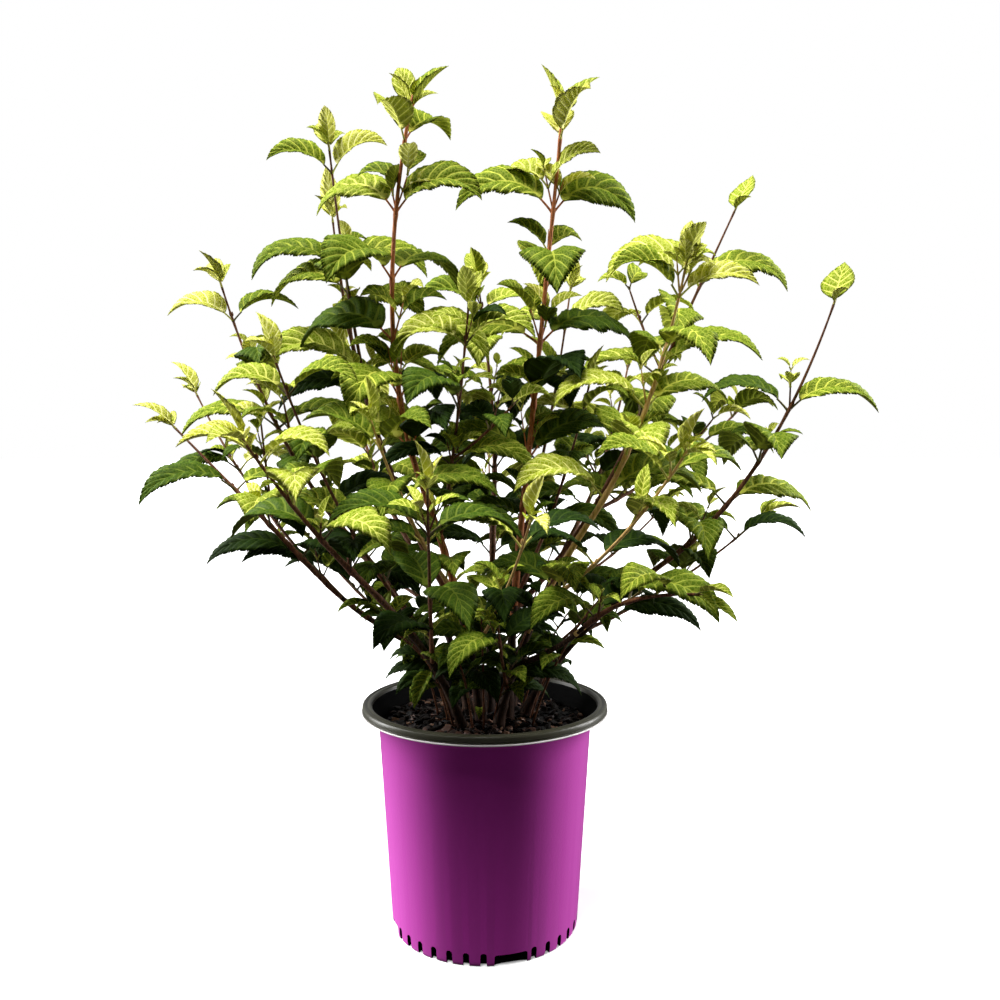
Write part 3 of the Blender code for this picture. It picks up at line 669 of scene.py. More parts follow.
# %% Bed and chips
def build_bed():
    """The dark bed under the chips: a disc with uneven ground."""
    bm = bmesh.new()
    bmesh.ops.create_grid(bm, x_segments=60, y_segments=60, size=BED_RADIUS)
    far = [corner for corner in bm.verts if corner.co.length > BED_RADIUS]
    bmesh.ops.delete(bm, geom=far, context="VERTS")
    for corner in bm.verts:
        corner.co.z = SOIL_TOP - 0.0022 + 0.0016 * noise.noise(corner.co * 180)
    grown = bmesh.ops.extrude_face_region(bm, geom=bm.faces[:])["geom"]
    for corner in grown:
        if isinstance(corner, bmesh.types.BMVert):
            corner.co.z = SOIL_TOP - 0.012
    bmesh.ops.recalc_face_normals(bm, faces=bm.faces)
    bed = from_bmesh("potting_bed", bm)
    bed.data.materials.append(CHIP_FINISHES[0])
    return bed


chip_heap = scatter_chips()
chips = chip_heap.build("bark_chips", CHIP_FINISHES)
chips.data.shade_flat()
finish_piece(chips, "potting_bark", "soil")
finish_piece(build_bed(), "potting_bark", "soil")
print("Bark chips:", CHIPS, "with", chip_heap.triangles(), "triangles")

# %% [markdown]
# ## The plan of the shrub
#
# A shrub grows by a rule: stems rise from the pot, boughs and shoots spring from them, and
# leaves stand in opposite pairs, each pair turned a quarter from the last. The solid model
# was grown by this rule from named sizes and a seed for each spray. Growing it again here,
# with the same seeds in the same order, gives the same leaves, which are then made finer.

# %% Stems and boughs
STEMS = (
    ("stem_tall", (-0.003, -0.006), (-0.054, -0.012, 0.395), 0.0046, 0.0030),
    ("stem_right", (0.021, 0.001), (0.035, 0.002, 0.385), 0.0046, 0.0030),
    ("stem_left", (-0.026, 0.004), (-0.130, 0.042, 0.350), 0.0042, 0.0027),
    ("stem_pale", (0.012, -0.018), (0.090, -0.045, 0.370), 0.0042, 0.0027),
    ("stem_far_right", (0.036, 0.014), (0.165, 0.004, 0.330), 0.0042, 0.0026),
    ("stem_low_left", (-0.020, -0.022), (-0.095, -0.100, 0.325), 0.0038, 0.0025),
    ("stem_back", (0.004, 0.020), (0.008, 0.095, 0.390), 0.0044, 0.0027),
    ("stem_back_left", (-0.016, 0.030), (-0.090, 0.130, 0.350), 0.0040, 0.0025),
    ("stem_back_right", (0.024, 0.034), (0.095, 0.130, 0.355), 0.0040, 0.0025),
)
# A bough: name, its stem, the share along it where the bough springs, its tip, its radii.
BOUGHS = (
    ("bough_twin", "stem_tall", 0.45, (-0.112, 0.040, 0.480), 0.0031, 0.0024),
    ("bough_far_left", "stem_left", 0.36, (-0.150, -0.010, 0.320), 0.0030, 0.0024),
    ("bough_high_right", "stem_right", 0.50, (0.140, 0.075, 0.440), 0.0030, 0.0023),
    ("bough_low_right", "stem_pale", 0.30, (0.085, -0.070, 0.285), 0.0028, 0.0022),
)

# %% Sprays
# A spray: name, limb, share along it (1 carries on from its tip), tip, leaf length,
# pairs of leaves, turn of the first pair in degrees, bare share below the last pair, twigs.
SPRAYS = (
    ("leaves_tall", "stem_tall", 1, (-0.061, -0.020, 0.737), 0.112, 7, -25, 0.07, 0),
    ("leaves_right_tall", "stem_right", 1, (0.070, 0.000, 0.739), 0.116, 7, 8, 0.06, 0),
    ("leaves_twin_high", "bough_twin", 0.9, (-0.142, 0.022, 0.714), 0.098, 4, 10, 0.08, 0),
    ("leaves_twin", "bough_twin", 1, (-0.146, 0.062, 0.655), 0.108, 4, 12, 0.30, 1),
    ("leaves_left_high", "stem_left", 1, (-0.258, 0.070, 0.600), 0.102, 6, 5, 0.12, 1),
    ("leaves_left_front", "stem_left", 0.62, (-0.167, -0.100, 0.512), 0.094, 5, 80, 0.12, 1),
    ("leaves_far_left", "bough_far_left", 1, (-0.283, 0.000, 0.456), 0.098, 4, 12, 0.45, 1),
    ("leaves_left_back", "bough_far_left", 0.7, (-0.300, 0.120, 0.495), 0.096, 4, 20, 0.40, 1),
    ("leaves_front_left", "stem_low_left", 1, (-0.165, -0.200, 0.442), 0.096, 5, 100, 0.12, 1),
    ("leaves_pale", "stem_pale", 1, (0.165, -0.080, 0.588), 0.106, 6, 5, 0.10, 1),
    ("leaves_right_high", "bough_high_right", 1, (0.248, 0.090, 0.674), 0.116, 5, 88, 0.32, 1),
    ("leaves_far_right", "stem_far_right", 1, (0.308, -0.020, 0.570), 0.102, 5, 90, 0.36, 1),
    ("leaves_right_back", "bough_high_right", 0.6, (0.285, 0.170, 0.488), 0.094, 5, 30, 0.15, 1),
    ("leaves_front_right", "stem_pale", 0.6, (0.144, -0.200, 0.434), 0.094, 5, 100, 0.12, 1),
    ("leaves_low_right_back", "stem_far_right", 0.55, (0.278, 0.090, 0.368), 0.094, 4, 20, 0.2, 1),
    ("leaves_low_right", "bough_low_right", 1, (0.165, -0.150, 0.324), 0.092, 4, 25, 0.2, 0),
    ("leaves_middle", "stem_tall", 0.55, (-0.087, -0.120, 0.458), 0.094, 5, 75, 0.12, 1),
    ("leaves_centre", "stem_tall", 0.80, (-0.012, -0.050, 0.560), 0.096, 5, 70, 0.15, 1),
    ("leaves_front", "stem_tall", 0.30, (0.037, -0.170, 0.385), 0.092, 4, 0, 0.15, 1),
    ("leaves_front_middle", "stem_low_left", 0.45, (-0.036, -0.205, 0.410), 0.096, 4, 20, 0.2, 1),
    ("leaves_inner_right", "stem_right", 0.55, (0.100, 0.050, 0.500), 0.094, 5, 80, 0.15, 1),
    ("leaves_behind_right", "stem_right", 0.75, (0.085, 0.100, 0.600), 0.098, 5, 70, 0.15, 0),
    ("leaves_back_top", "stem_back", 1, (-0.010, 0.130, 0.610), 0.100, 6, 15, 0.12, 1),
    ("leaves_back_left", "stem_back_left", 1, (-0.165, 0.225, 0.530), 0.096, 6, 40, 0.15, 1),
    ("leaves_back_right", "stem_back_right", 1, (0.160, 0.230, 0.530), 0.096, 6, 50, 0.15, 1),
    ("leaves_rear", "stem_back", 0.62, (0.000, 0.270, 0.450), 0.096, 5, 30, 0.15, 0),
    ("leaves_rear_left", "stem_back_left", 0.55, (-0.205, 0.205, 0.370), 0.094, 4, 40, 0.2, 0),
    ("leaves_rear_right", "stem_back_right", 0.55, (0.210, 0.215, 0.380), 0.094, 4, 45, 0.2, 0),
    ("leaves_rear_low", "stem_back", 0.35, (0.060, 0.245, 0.320), 0.090, 4, 45, 0.2, 0),
    ("leaves_low_left", "stem_left", 0.36, (-0.200, 0.120, 0.365), 0.090, 4, 45, 0.2, 0),
    ("leaves_base_left", "stem_tall", 0.16, (-0.098, -0.050, 0.300), 0.078, 3, 25, 0.3, 0),
    ("leaves_base_front", "stem_pale", 0.18, (0.012, -0.085, 0.290), 0.084, 3, -20, 0.3, 0),
    ("leaves_base_right", "stem_right", 0.20, (0.115, 0.020, 0.300), 0.080, 3, 15, 0.3, 0),
)
print("Stems:", len(STEMS), "boughs:", len(BOUGHS), "sprays:", len(SPRAYS))

# %% Curves of the limbs
STEM_BEND = 0.25
SIDE_BEND, SIDE_DIP = 0.6, 0.2
ONWARD = 0.42
BOWS = (0, 0.012, -0.012, 0.022, -0.022, 0.032, -0.032)


def curve_point(ends, share):
    """The point at a share of the way along a quadratic curve of three points."""
    start, middle, tip = ends
    return start * (1 - share) ** 2 + middle * 2 * share * (1 - share) + tip * share**2


def curve_way(ends, share):
    """The direction of the curve there."""
    start, middle, tip = ends
    return ((middle - start) * (1 - share) + (tip - middle) * share).normalized()


def curve_at(ends, share):
    return curve_point(ends, share), curve_way(ends, share)


def bowed(ends, bow):
    """The same curve with its middle moved sideways."""
    start, middle, tip = ends
    side = (tip - start).cross(UP)
    if side.length < 0.001:
        side = Vector((1, 0, 0))
    return start, middle + side.normalized() * bow, tip


def stem_curve(foot, tip):
    """A stem leaves the bark upright and then leans to its tip."""
    start, tip = Vector((*foot, SOIL_TOP)), Vector(tip)
    return start, start.lerp(tip, STEM_BEND) + UP * STEM_BEND * (tip.z - start.z), tip


def side_curve(carrier, share, tip):
    """A limb that springs from the side of another, and turns up towards its tip."""
    start, tip = curve_point(carrier, share), Vector(tip)
    return start, start.lerp(tip, SIDE_BEND) - UP * SIDE_DIP * (tip.z - start.z), tip


def carried_on(carrier, tip):
    """A limb that carries on from the tip of another, in the same direction."""
    start, tip = carrier[2], Vector(tip)
    return start, start + curve_way(carrier, 1) * ONWARD * (tip - start).length, tip


# %% [markdown]
# The rule tries a few sideways bows for each limb and keeps the first that touches nothing.
# Instead of testing for contact again, this file asks the loaded solid: the right curve is
# the one that runs deepest inside it.

# %% Which curve stands
PROBES = (0.35, 0.5, 0.65, 0.8)


def surface_of(node):
    """A search tree over a CAD node's faces."""
    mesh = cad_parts[node].data
    return BVHTree.FromPolygons([corner.co for corner in mesh.vertices],
                                [face.vertices for face in mesh.polygons])


def depth_in(tree, place):
    """How deep a point lies inside a solid, or less than nothing outside it."""
    near, normal, _, distance = tree.find_nearest(place)
    return distance if (place - near).dot(normal) < 0 else -distance


def as_bowed(node, ends):
    """The bowed curve that the node was built on."""
    tree = surface_of(node)

    def least_depth(curve):
        return min(depth_in(tree, curve_point(curve, share)) for share in PROBES)

    return max((bowed(ends, bow) for bow in BOWS), key=least_depth)


def side_ends(carrier, share, tip):
    """The curve of a bough or spray before it is bowed."""
    return carried_on(carrier, tip) if share == 1 else side_curve(carrier, share, tip)


limbs = {}
for name, foot, tip, *_ in STEMS:
    limbs[name] = as_bowed(name, stem_curve(foot, tip))
for name, carrier, share, tip, *_ in BOUGHS + SPRAYS:
    limbs[name] = as_bowed(name, side_ends(limbs[carrier], share, tip))
print("Limbs found in the frame:", len(limbs))

# %% [markdown]
# ## Bark
#
# A stem is a tube whose rings follow its curve. Its radius swells at the nodes, where
# leaves once stood, and noise drawn out along the stem raises ridges and furrows in the
# mesh itself. The streaks group adds the fibres that are finer than the mesh.

# %% Tubes
def rings(points, radii, sides, relief=None):
    """A closed tube through these points, with a pole at each end. Relief adds to a radius."""
    points = np.asarray(points, float)
    ways = np.gradient(points, axis=0)
    ways /= np.linalg.norm(ways, axis=1)[:, None]
    across = np.cross(ways[0], (0.3, 0.9, 0.1))
    corners = []
    turns = np.arange(sides) * math.tau / sides
    for k, (point, way, radius) in enumerate(zip(points, ways, radii)):
        across = across - way * across.dot(way)
        across /= np.linalg.norm(across)
        along = np.cross(way, across)
        reach = radius + (relief(k, turns) if relief else 0)
        ring = np.outer(np.cos(turns), across) + np.outer(np.sin(turns), along)
        corners.append(point + ring * np.reshape(reach, (-1, 1)))
    count = len(points)
    faces = []
    for k in range(count - 1):
        for side in range(sides):
            after = (side + 1) % sides
            faces.append((k * sides + side, k * sides + after,
                          (k + 1) * sides + after, (k + 1) * sides + side))
    faces.append(tuple(reversed(range(sides))))
    faces.append(tuple(range((count - 1) * sides, count * sides)))
    return np.concatenate(corners), faces


# %% Bark finishes
# The first bark is the old bark at the foot of the stems, darker than its own brown: painted shade
# under the crown.
BARK_FINISHES = [
    barked("bark_old_in_shade", (0.060, 0.030, 0.017), (0.018, 0.009, 0.006), (0.14, 0.085, 0.052),
           0.7, 0.0005),
    barked("bark_red", (0.56, 0.20, 0.075), (0.22, 0.062, 0.022), (0.60, 0.32, 0.17)),
    barked("bark_brown", (0.19, 0.078, 0.036), (0.065, 0.024, 0.012), (0.32, 0.18, 0.10)),
    barked("bark_pale", (0.68, 0.45, 0.17), (0.48, 0.27, 0.09), (0.72, 0.52, 0.25)),
    barked("stalk_green", (0.50, 0.52, 0.10), (0.34, 0.30, 0.07), (0.60, 0.60, 0.20)),
    barked("stalk_dark", (0.13, 0.11, 0.035), (0.06, 0.045, 0.02), (0.22, 0.19, 0.08)),
]
OLD_IN_SHADE, RED, BROWN, PALE, GREEN_STALK, DARK_STALK = range(6)

# %% Stems and boughs with bark
FLARE, FLARE_HEIGHT = 0.0022, 0.011
RING_PACE = 0.0035  # between a limb's rings
LIMB_SIDES = 16
NODE_PACE = 0.047  # between the nodes of an old stem
NODE_SWELL, NODE_SPAN = 0.16, 0.0032
RIDGES, FIBRES = (0.10, 2.2, 45), (0.05, 6, 240)  # how high, how close round, how close along


def drawn_noise(turns, along, close, stretch, seed):
    """Noise round a limb, drawn out along it."""
    spots = [(close * math.cos(turn), close * math.sin(turn), stretch * along) for turn in turns]
    return np.array([noise.noise(Vector(spot) + seed) for spot in spots])


def limb_rings(name, ends, radii, grounded):
    """The rings of a stem or bough, flared at the foot and swollen at its old nodes."""
    marks = [curve_point(ends, k / 20) for k in range(21)]
    length = sum((after - mark).length for mark, after in zip(marks, marks[1:]))
    count = int(length / RING_PACE)
    shares = [k / count for k in range(count + 1)]
    points = [curve_point(ends, share) for share in shares]
    if grounded:
        points[0] = points[0] - UP * 0.002
    seed = Vector((sum(map(ord, name)) % 97, 3, 7))
    wide = []
    for share, point in zip(shares, points):
        radius = radii[0] + (radii[1] - radii[0]) * share
        if grounded:
            radius += FLARE * math.exp(-max(point.z - SOIL_TOP, 0) / FLARE_HEIGHT)
        off_node = math.remainder(share * length - 0.02, NODE_PACE)
        wide.append(radius * (0.94 + NODE_SWELL * math.exp(-(off_node / NODE_SPAN) ** 2)))

    def relief(k, turns):
        along = shares[k] * length
        raised = [height * drawn_noise(turns, along, close, stretch, seed)
                  for height, close, stretch in (RIDGES, FIBRES)]
        return wide[k] * (raised[0] + raised[1])

    return rings(points, wide, LIMB_SIDES, relief)


YOUNG_BARK = {"stem_tall": RED, "stem_right": RED, "stem_pale": PALE, "bough_low_right": PALE}
# Below this height, along a ragged edge, a limb takes the old bark with its painted shade.
SHADED_BARK_TOP, SHADED_BARK_RAGGED = 0.285, 0.035


def build_limb(name, radii, grounded):
    """A limb with old bark low down, painted darker as shade under the crown, which gives way to young
    bark along a ragged edge.
    """
    heap = Heap()
    points, faces = limb_rings(name, limbs[name], radii, grounded)
    young = YOUNG_BARK.get(name, BROWN)
    corners = [Vector(points[face[0]]) for face in faces]
    tops = [SHADED_BARK_TOP + SHADED_BARK_RAGGED * noise.noise(corner * 160) for corner in corners]
    barks = [OLD_IN_SHADE if corner.z < top else young for corner, top in zip(corners, tops)]
    heap.add(points, faces, barks)
    return finish_piece(heap.build("bark_" + name, BARK_FINISHES), "stem_bark", name)


for name, _, _, *radii in STEMS:
    build_limb(name, radii, True)
for name, _, _, _, *radii in BOUGHS:
    build_limb(name, radii, False)
print("Limbs with bark:", len(STEMS) + len(BOUGHS))

# %% [markdown]
# ## The leaf rule
#
# Each leaf draws its own bearing, rise, length, sag and roll, in the order of the source.
# The stalk rises, the blade arches over under its own weight, and its upper side turns out
# towards the light. The rule tried several turns and one shorter cut for a leaf that
# touched another spray; the one that stands is again found in the loaded solid.

# %% Leaf sizes
SPINE_STEPS, PETIOLE_STEPS = 20, 3
FAR_RING, SMALL_RING = (14, 0.86), (9, 1)  # step and width of the solid blade's last ring
HALF_WIDTH = 0.245  # of a leaf's whole length
KEEL, KEEL_RISE = 0.014, 0.3
RISE, YOUNG_ANGLE = 47, 22
OLD_SAG, YOUNG_SAG, STALK_SAG = 2.6, 0.5, 0.3
BEARING_SPREAD, RISE_SPREAD, SAG_SPREAD, ROLL_SPREAD = 14, 9, 0.25, 0.3
LENGTHS, YOUNG_SIZE = (0.9, 1.06), 0.45
FACING, FACING_FROM, FACING_SIDE = 0.95, 0.16, 0.25
TURNS = (0, 16, -16, 32, -32, 48, -48)
CUTS = (1, 0.8)
YOUTH_RISE = 6
FIRST_PAIR, LAST_PAIR = 0.12, 0.96
TWIG_AFTER, TWIG_LENGTH, TWIG_LENGTHS = 0.03, 0.075, (0.8, 1.1)
TWIG_ANGLE, TWIG_SPREAD, TWIG_LIFT, TWIG_LEAF = 48, 25, 0.2, 0.72
TWIG_PAIRS = ((0.6, 0.25), (0.97, 0.7))


def swung(first, second, angle):
    """A direction turned by an angle towards one that stands square to it."""
    return first * math.cos(angle) + second * math.sin(angle)


def outwards(axis, bearing):
    """The direction out from a shoot at a bearing about it, in degrees."""
    across = (Vector((1, 0, 0)) - axis * axis.x).normalized()
    return swung(across, axis.cross(across), math.radians(bearing))


# %% One leaf
class Leaf:
    """One leaf: where it springs from its shoot, and how it is held."""

    def __init__(self, root, axis, bearing, length, youth, draw, small):
        self.root, self.axis, self.small, self.youth = root, axis, small, youth
        self.bearing = bearing + draw.uniform(-BEARING_SPREAD, BEARING_SPREAD)
        self.rise = math.radians(RISE + draw.uniform(-RISE_SPREAD, RISE_SPREAD))
        self.length = length * (1 - (1 - YOUNG_SIZE) * youth) * draw.uniform(*LENGTHS)
        self.upright = youth * youth
        sag = OLD_SAG + (YOUNG_SAG - OLD_SAG) * self.upright
        self.sag = sag + draw.uniform(-SAG_SPREAD, SAG_SPREAD)
        self.roll = draw.uniform(-ROLL_SPREAD, ROLL_SPREAD)

    def held(self, turn):
        """The stalk's direction, the level line across the leaf, and the blade's tilt about it."""
        out = outwards(self.axis, self.bearing + turn)
        grown = swung(Vector((out.x, out.y, 0)).normalized(), UP, self.rise)
        upright = swung(self.axis, out, math.radians(YOUNG_ANGLE))
        heading = grown.lerp(upright, self.upright).normalized()
        side = heading.cross(UP).normalized()
        front = Vector((self.root.x * FACING_SIDE, self.root.y - FACING_FROM, 0)).normalized()
        return heading, side, math.atan(front.dot(side) * FACING + self.roll)


def spine(root, heading, length, sag, finer=1):
    """Points and directions along a leaf's midrib, bending over under its own weight."""
    place, way = root.copy(), heading.copy()
    line = [(place.copy(), way.copy())]
    for step in range(SPINE_STEPS * finer):
        give = sag * (STALK_SAG if step < PETIOLE_STEPS * finer else 1) / (SPINE_STEPS * finer)
        way = (way - UP * give).normalized()
        place = place + way * length / (SPINE_STEPS * finer)
        line.append((place.copy(), way.copy()))
    return line


# %% Pairs and twigs
def leafy_share(pair, count, space):
    """How far along the leafy stretch a pair stands. The last pair stands at its end."""
    return 1 if pair == count - 1 else (1 - space) * pair / (count - 2)


def shoot_share(along):
    """The same place as a share of the whole shoot."""
    return FIRST_PAIR + (LAST_PAIR - FIRST_PAIR) * along


def leaf_pair(place, bearing, length, youth, draw, small=True):
    """Two leaves that stand opposite each other. Each is drawn only when it is asked for."""
    root, axis = place
    for side in (0, 180):
        yield Leaf(root, axis, bearing + side, length, youth, draw, small)


def leaf_pairs(ends, count, length, turn, space, draw):
    """The leaves on a shoot, each pair turned a quarter from the last."""
    leaves = []
    for pair in range(count):
        along = leafy_share(pair, count, space)
        place = curve_at(ends, shoot_share(along))
        leaves += leaf_pair(place, turn + 90 * pair, length, along**YOUTH_RISE, draw, pair == count - 1)
    return leaves


def side_twigs(ends, count, pairs, turn, space, draw):
    """The short twigs that spring just above a pair of leaves."""
    twigs = []
    for k in range(count):
        share = shoot_share(leafy_share(k + 1, pairs, space)) + TWIG_AFTER
        start, axis = curve_at(ends, share)
        bearing = turn + 90 * (k + 1) + draw.choice((0, 180))
        out = outwards(axis, bearing + draw.uniform(-TWIG_SPREAD, TWIG_SPREAD))
        way = swung(axis, out, math.radians(TWIG_ANGLE))
        length = TWIG_LENGTH * draw.uniform(*TWIG_LENGTHS)
        twigs.append((start, start + way * length / 2, start + way * length + UP * TWIG_LIFT * length))
    return twigs


def twig_leaves(ends, length, turn, draw):
    """The two pairs of small leaves on a twig."""
    leaves = []
    for pair, (share, youth) in enumerate(TWIG_PAIRS):
        bearing = turn + 45 + 90 * pair
        leaves += leaf_pair(curve_at(ends, share), bearing, length * TWIG_LEAF, youth, draw)
    return leaves


# %% Which leaf stands
NEAR = 0.0004  # metres, within which a corner counts as found


def corners_of(leaf, turn, cut):
    """Three far corners of the plain blade that the solid would have."""
    heading, side, tilt = leaf.held(turn)
    length = leaf.length * cut
    line = spine(leaf.root, heading, length, leaf.sag)
    step, share = SMALL_RING if leaf.small else FAR_RING
    place, way = line[step]
    over = swung(side.cross(way), side, tilt)
    edge = way.cross(over) * HALF_WIDTH * length * share
    lift = over * KEEL * length * KEEL_RISE
    return place + edge + lift, place - edge + lift, line[-1][0]


def as_held(leaf, tree):
    """The turn and cut at which the solid holds this leaf, or None where it has none."""
    best, least = None, NEAR
    for cut in CUTS:
        for turn in TURNS:
            miss = max(tree.find_nearest(corner)[3] for corner in corners_of(leaf, turn, cut))
            if miss < least:
                best, least = (turn, cut), miss
    return best


# %% [markdown]
# ## The blade
#
# The leaf is what people know this shrub by: oval with a drawn-out tip, a saw-toothed
# edge, and about ten pairs of straight, sunken side veins with the blade puffed up between
# them. Each blade is cut from one flat pattern whose rows of corners follow the veins, so
# that veins, puffs and teeth all fall on edges of the mesh. The pattern is then bent along
# each leaf's own arching spine. Upper and lower skin are separate sheets that meet at the
# edge, so a leaf is a thin closed solid with a ridge under each vein.

# %% The flat pattern
VEIN_SHARE = 0.12  # half the width of a vein's pale band, of the space between veins
CRESTS = (0.36, 0.68)  # where the puff between two veins is highest
MIDRIB_SHARE = 0.05
SWEEP = 1.7  # how far the side veins run forward
LAST_START = 0.995  # the last row stops short of the tip
TOOTH = 0.026  # how far a tooth stands out, of the blade's half width


def outline(along):
    """The blade's half width at a share of its length, at most 1."""
    return along**0.77 * (1 - along) ** 1.25 / 0.2611


def rim_share(start):
    """How far along the blade a side vein meets the edge."""
    return 0.05 + 0.95 * (1 - (1 - start) ** SWEEP)


UPPER, VEIN, UNDER = range(3)


class Blade:
    """The flat pattern of a leaf, made once and bent to each leaf."""

    def __init__(self, veins, crests, columns):
        self.rows = [(0, 0, 0)]
        for vein in range(veins):
            self.rows += [(vein, VEIN_SHARE if vein else 0.03, 0)]
            self.rows += [(vein, crest, 1) for crest in crests] + [(vein + 1, -VEIN_SHARE, 0)]
        self.veins, self.columns = veins, columns
        self.table, self.faces, self.parts = [], [], []
        self.lay_upper()
        self.lay_under()
        rows = np.array(self.table)
        self.along, self.across, self.puff, _, self.thick = rows.T

    def corner(self, row, column):
        """Shares along and across, and how far the blade puffs up, of one corner."""
        vein, offset, puffed = self.rows[row]
        share = abs(self.columns[column])
        start = min((vein + offset * (1 - 0.6 * share * (1 - puffed))) / self.veins, LAST_START)
        rim = rim_share(start)
        along = start + (rim - start) * share**1.2
        across = outline(rim) * share
        across += (outline(along) - across) * max(0, 1 - start / 0.1)
        side = math.copysign(1, self.columns[column])
        puff = puffed * min(share / 0.2, 1) * (1 - 0.5 * share) * min(1, 3.2 * (1 - start))
        return along, side * across, puff, share, 0

    def add(self, row):
        """One corner, with its number as the answer."""
        self.table.append(row)
        return len(self.table) - 1

    def lay_upper(self):
        wide = range(len(self.columns))
        self.grid = [[self.add(self.corner(row, column)) for column in wide]
                     for row in range(len(self.rows))]
        self.tip = self.add((1, 0, 0, 0, 0))
        self.teeth = {}
        for row in range(len(self.rows) - 1):
            toothed = self.rows[row][2] or self.rows[row + 1][2]
            for column in (0, len(self.columns) - 1):
                if toothed and row:
                    self.teeth[row, column] = self.add(self.tooth(row, column))
        self.lay_sheet(self.grid, False)

    def tooth(self, row, column):
        """A tooth's point, which leans forward along the edge."""
        first, second = self.table[self.grid[row][column]], self.table[self.grid[row + 1][column]]
        along = first[0] + (second[0] - first[0]) * 0.8
        across = first[1] + (second[1] - first[1]) * 0.8
        size = TOOTH * min(1, 3 * abs(across))
        return along + 0.3 * size, across + math.copysign(size, across), 0, 1, 0

    def lay_under(self):
        last = len(self.columns) - 1
        under = [self.grid[0]]
        for row in range(1, len(self.rows)):
            line = []
            for column in range(last + 1):
                if column in (0, last):
                    line.append(self.grid[row][column])
                    continue
                along, across, puff, share, _ = self.table[self.grid[row][column]]
                ridge = 1.0 if share == 0 else 0.55 if not self.rows[row][2] else 0.32
                line.append(self.add((along, across, puff, share, ridge * (1 - 0.5 * along))))
            under.append(line)
        self.lay_sheet(under, True)

    def fan(self, row, column, near, far):
        """Triangles between two rows, with a tooth's point where the edge has one."""
        last = len(self.columns) - 1
        first, second, third, fourth = *near, *far
        if column in (0, last - 1):
            tooth = self.teeth.get((row, last if column else 0))
            if tooth:
                side = (third, first, tooth) if column else (second, fourth, tooth)
                return (first, second, tooth), side, (fourth, third, tooth)
            if column:
                return (first, second, third), (second, fourth, third)
        return (first, second, fourth), (first, fourth, third)

    def lay_sheet(self, grid, below):
        """Faces of one skin, in triangles laid the same way in both, so that they never cross."""
        last = len(self.columns) - 1
        for row in range(len(grid) - 1):
            veined = self.rows[row][0] > 0 and self.rows[row][1] < 0
            for column in range(last):
                near, far = grid[row][column:column + 2], grid[row + 1][column:column + 2]
                ridge = max(abs(share) for share in self.columns[column:column + 2]) <= MIDRIB_SHARE
                part = VEIN if veined or ridge else UNDER if below else UPPER
                for face in self.fan(row, column, near, far):
                    self.lay(face, part, below)
        for column in range(last):
            self.lay((grid[-1][column], grid[-1][column + 1], self.tip), VEIN, below)

    def lay(self, face, part, below):
        self.faces.append(face[::-1] if below else face)
        self.parts.append(part)


FULL_BLADE = Blade(10, CRESTS, (-1, -0.72, -0.38, -MIDRIB_SHARE, 0, MIDRIB_SHARE, 0.38, 0.72, 1))
SMALL_BLADE = Blade(7, (0.5,), (-1, -0.6, -MIDRIB_SHARE, 0, MIDRIB_SHARE, 0.6, 1))
for blade in (FULL_BLADE, SMALL_BLADE):
    print("Blade pattern:", len(blade.table), "corners,", len(blade.faces), "triangles")

# %% [markdown]
# ## Bending a blade
#
# A leaf's place, arch and tilt come from the rule. What makes no two alike is added here:
# how far it folds along the midrib, how its edges droop and wave, and a slight twist.

# %% Bend
FINER = 3  # spine steps here for each in the rule
PUFF = 0.024  # height of the puffs between the veins, of the leaf's length
LOW_LEAVES, LOW_TO_HIGH = 0.36, 0.26  # where the low leaves end, and how far up the high begin
HANG_LOW, HANG_HIGH = 0.45, 1.0  # share of the rule's sideways tilt that a leaf keeps
SLIM_LOW = 0.82  # how wide a leaf low in the crown is, beside one at the top
SAG_LOW = 0.84  # how far it bends over, beside one at the top
THICKNESS = 0.008  # of the midrib, of the leaf's length
PETIOLE_SHARE = PETIOLE_STEPS / SPINE_STEPS
OPEN_SAG, OPEN_FOLD, OPEN_WIDTH = 0.25, 0.15, 1.75  # of the broad young leaf on an open tip


def clamped(value):
    return max(0, min(1, value))


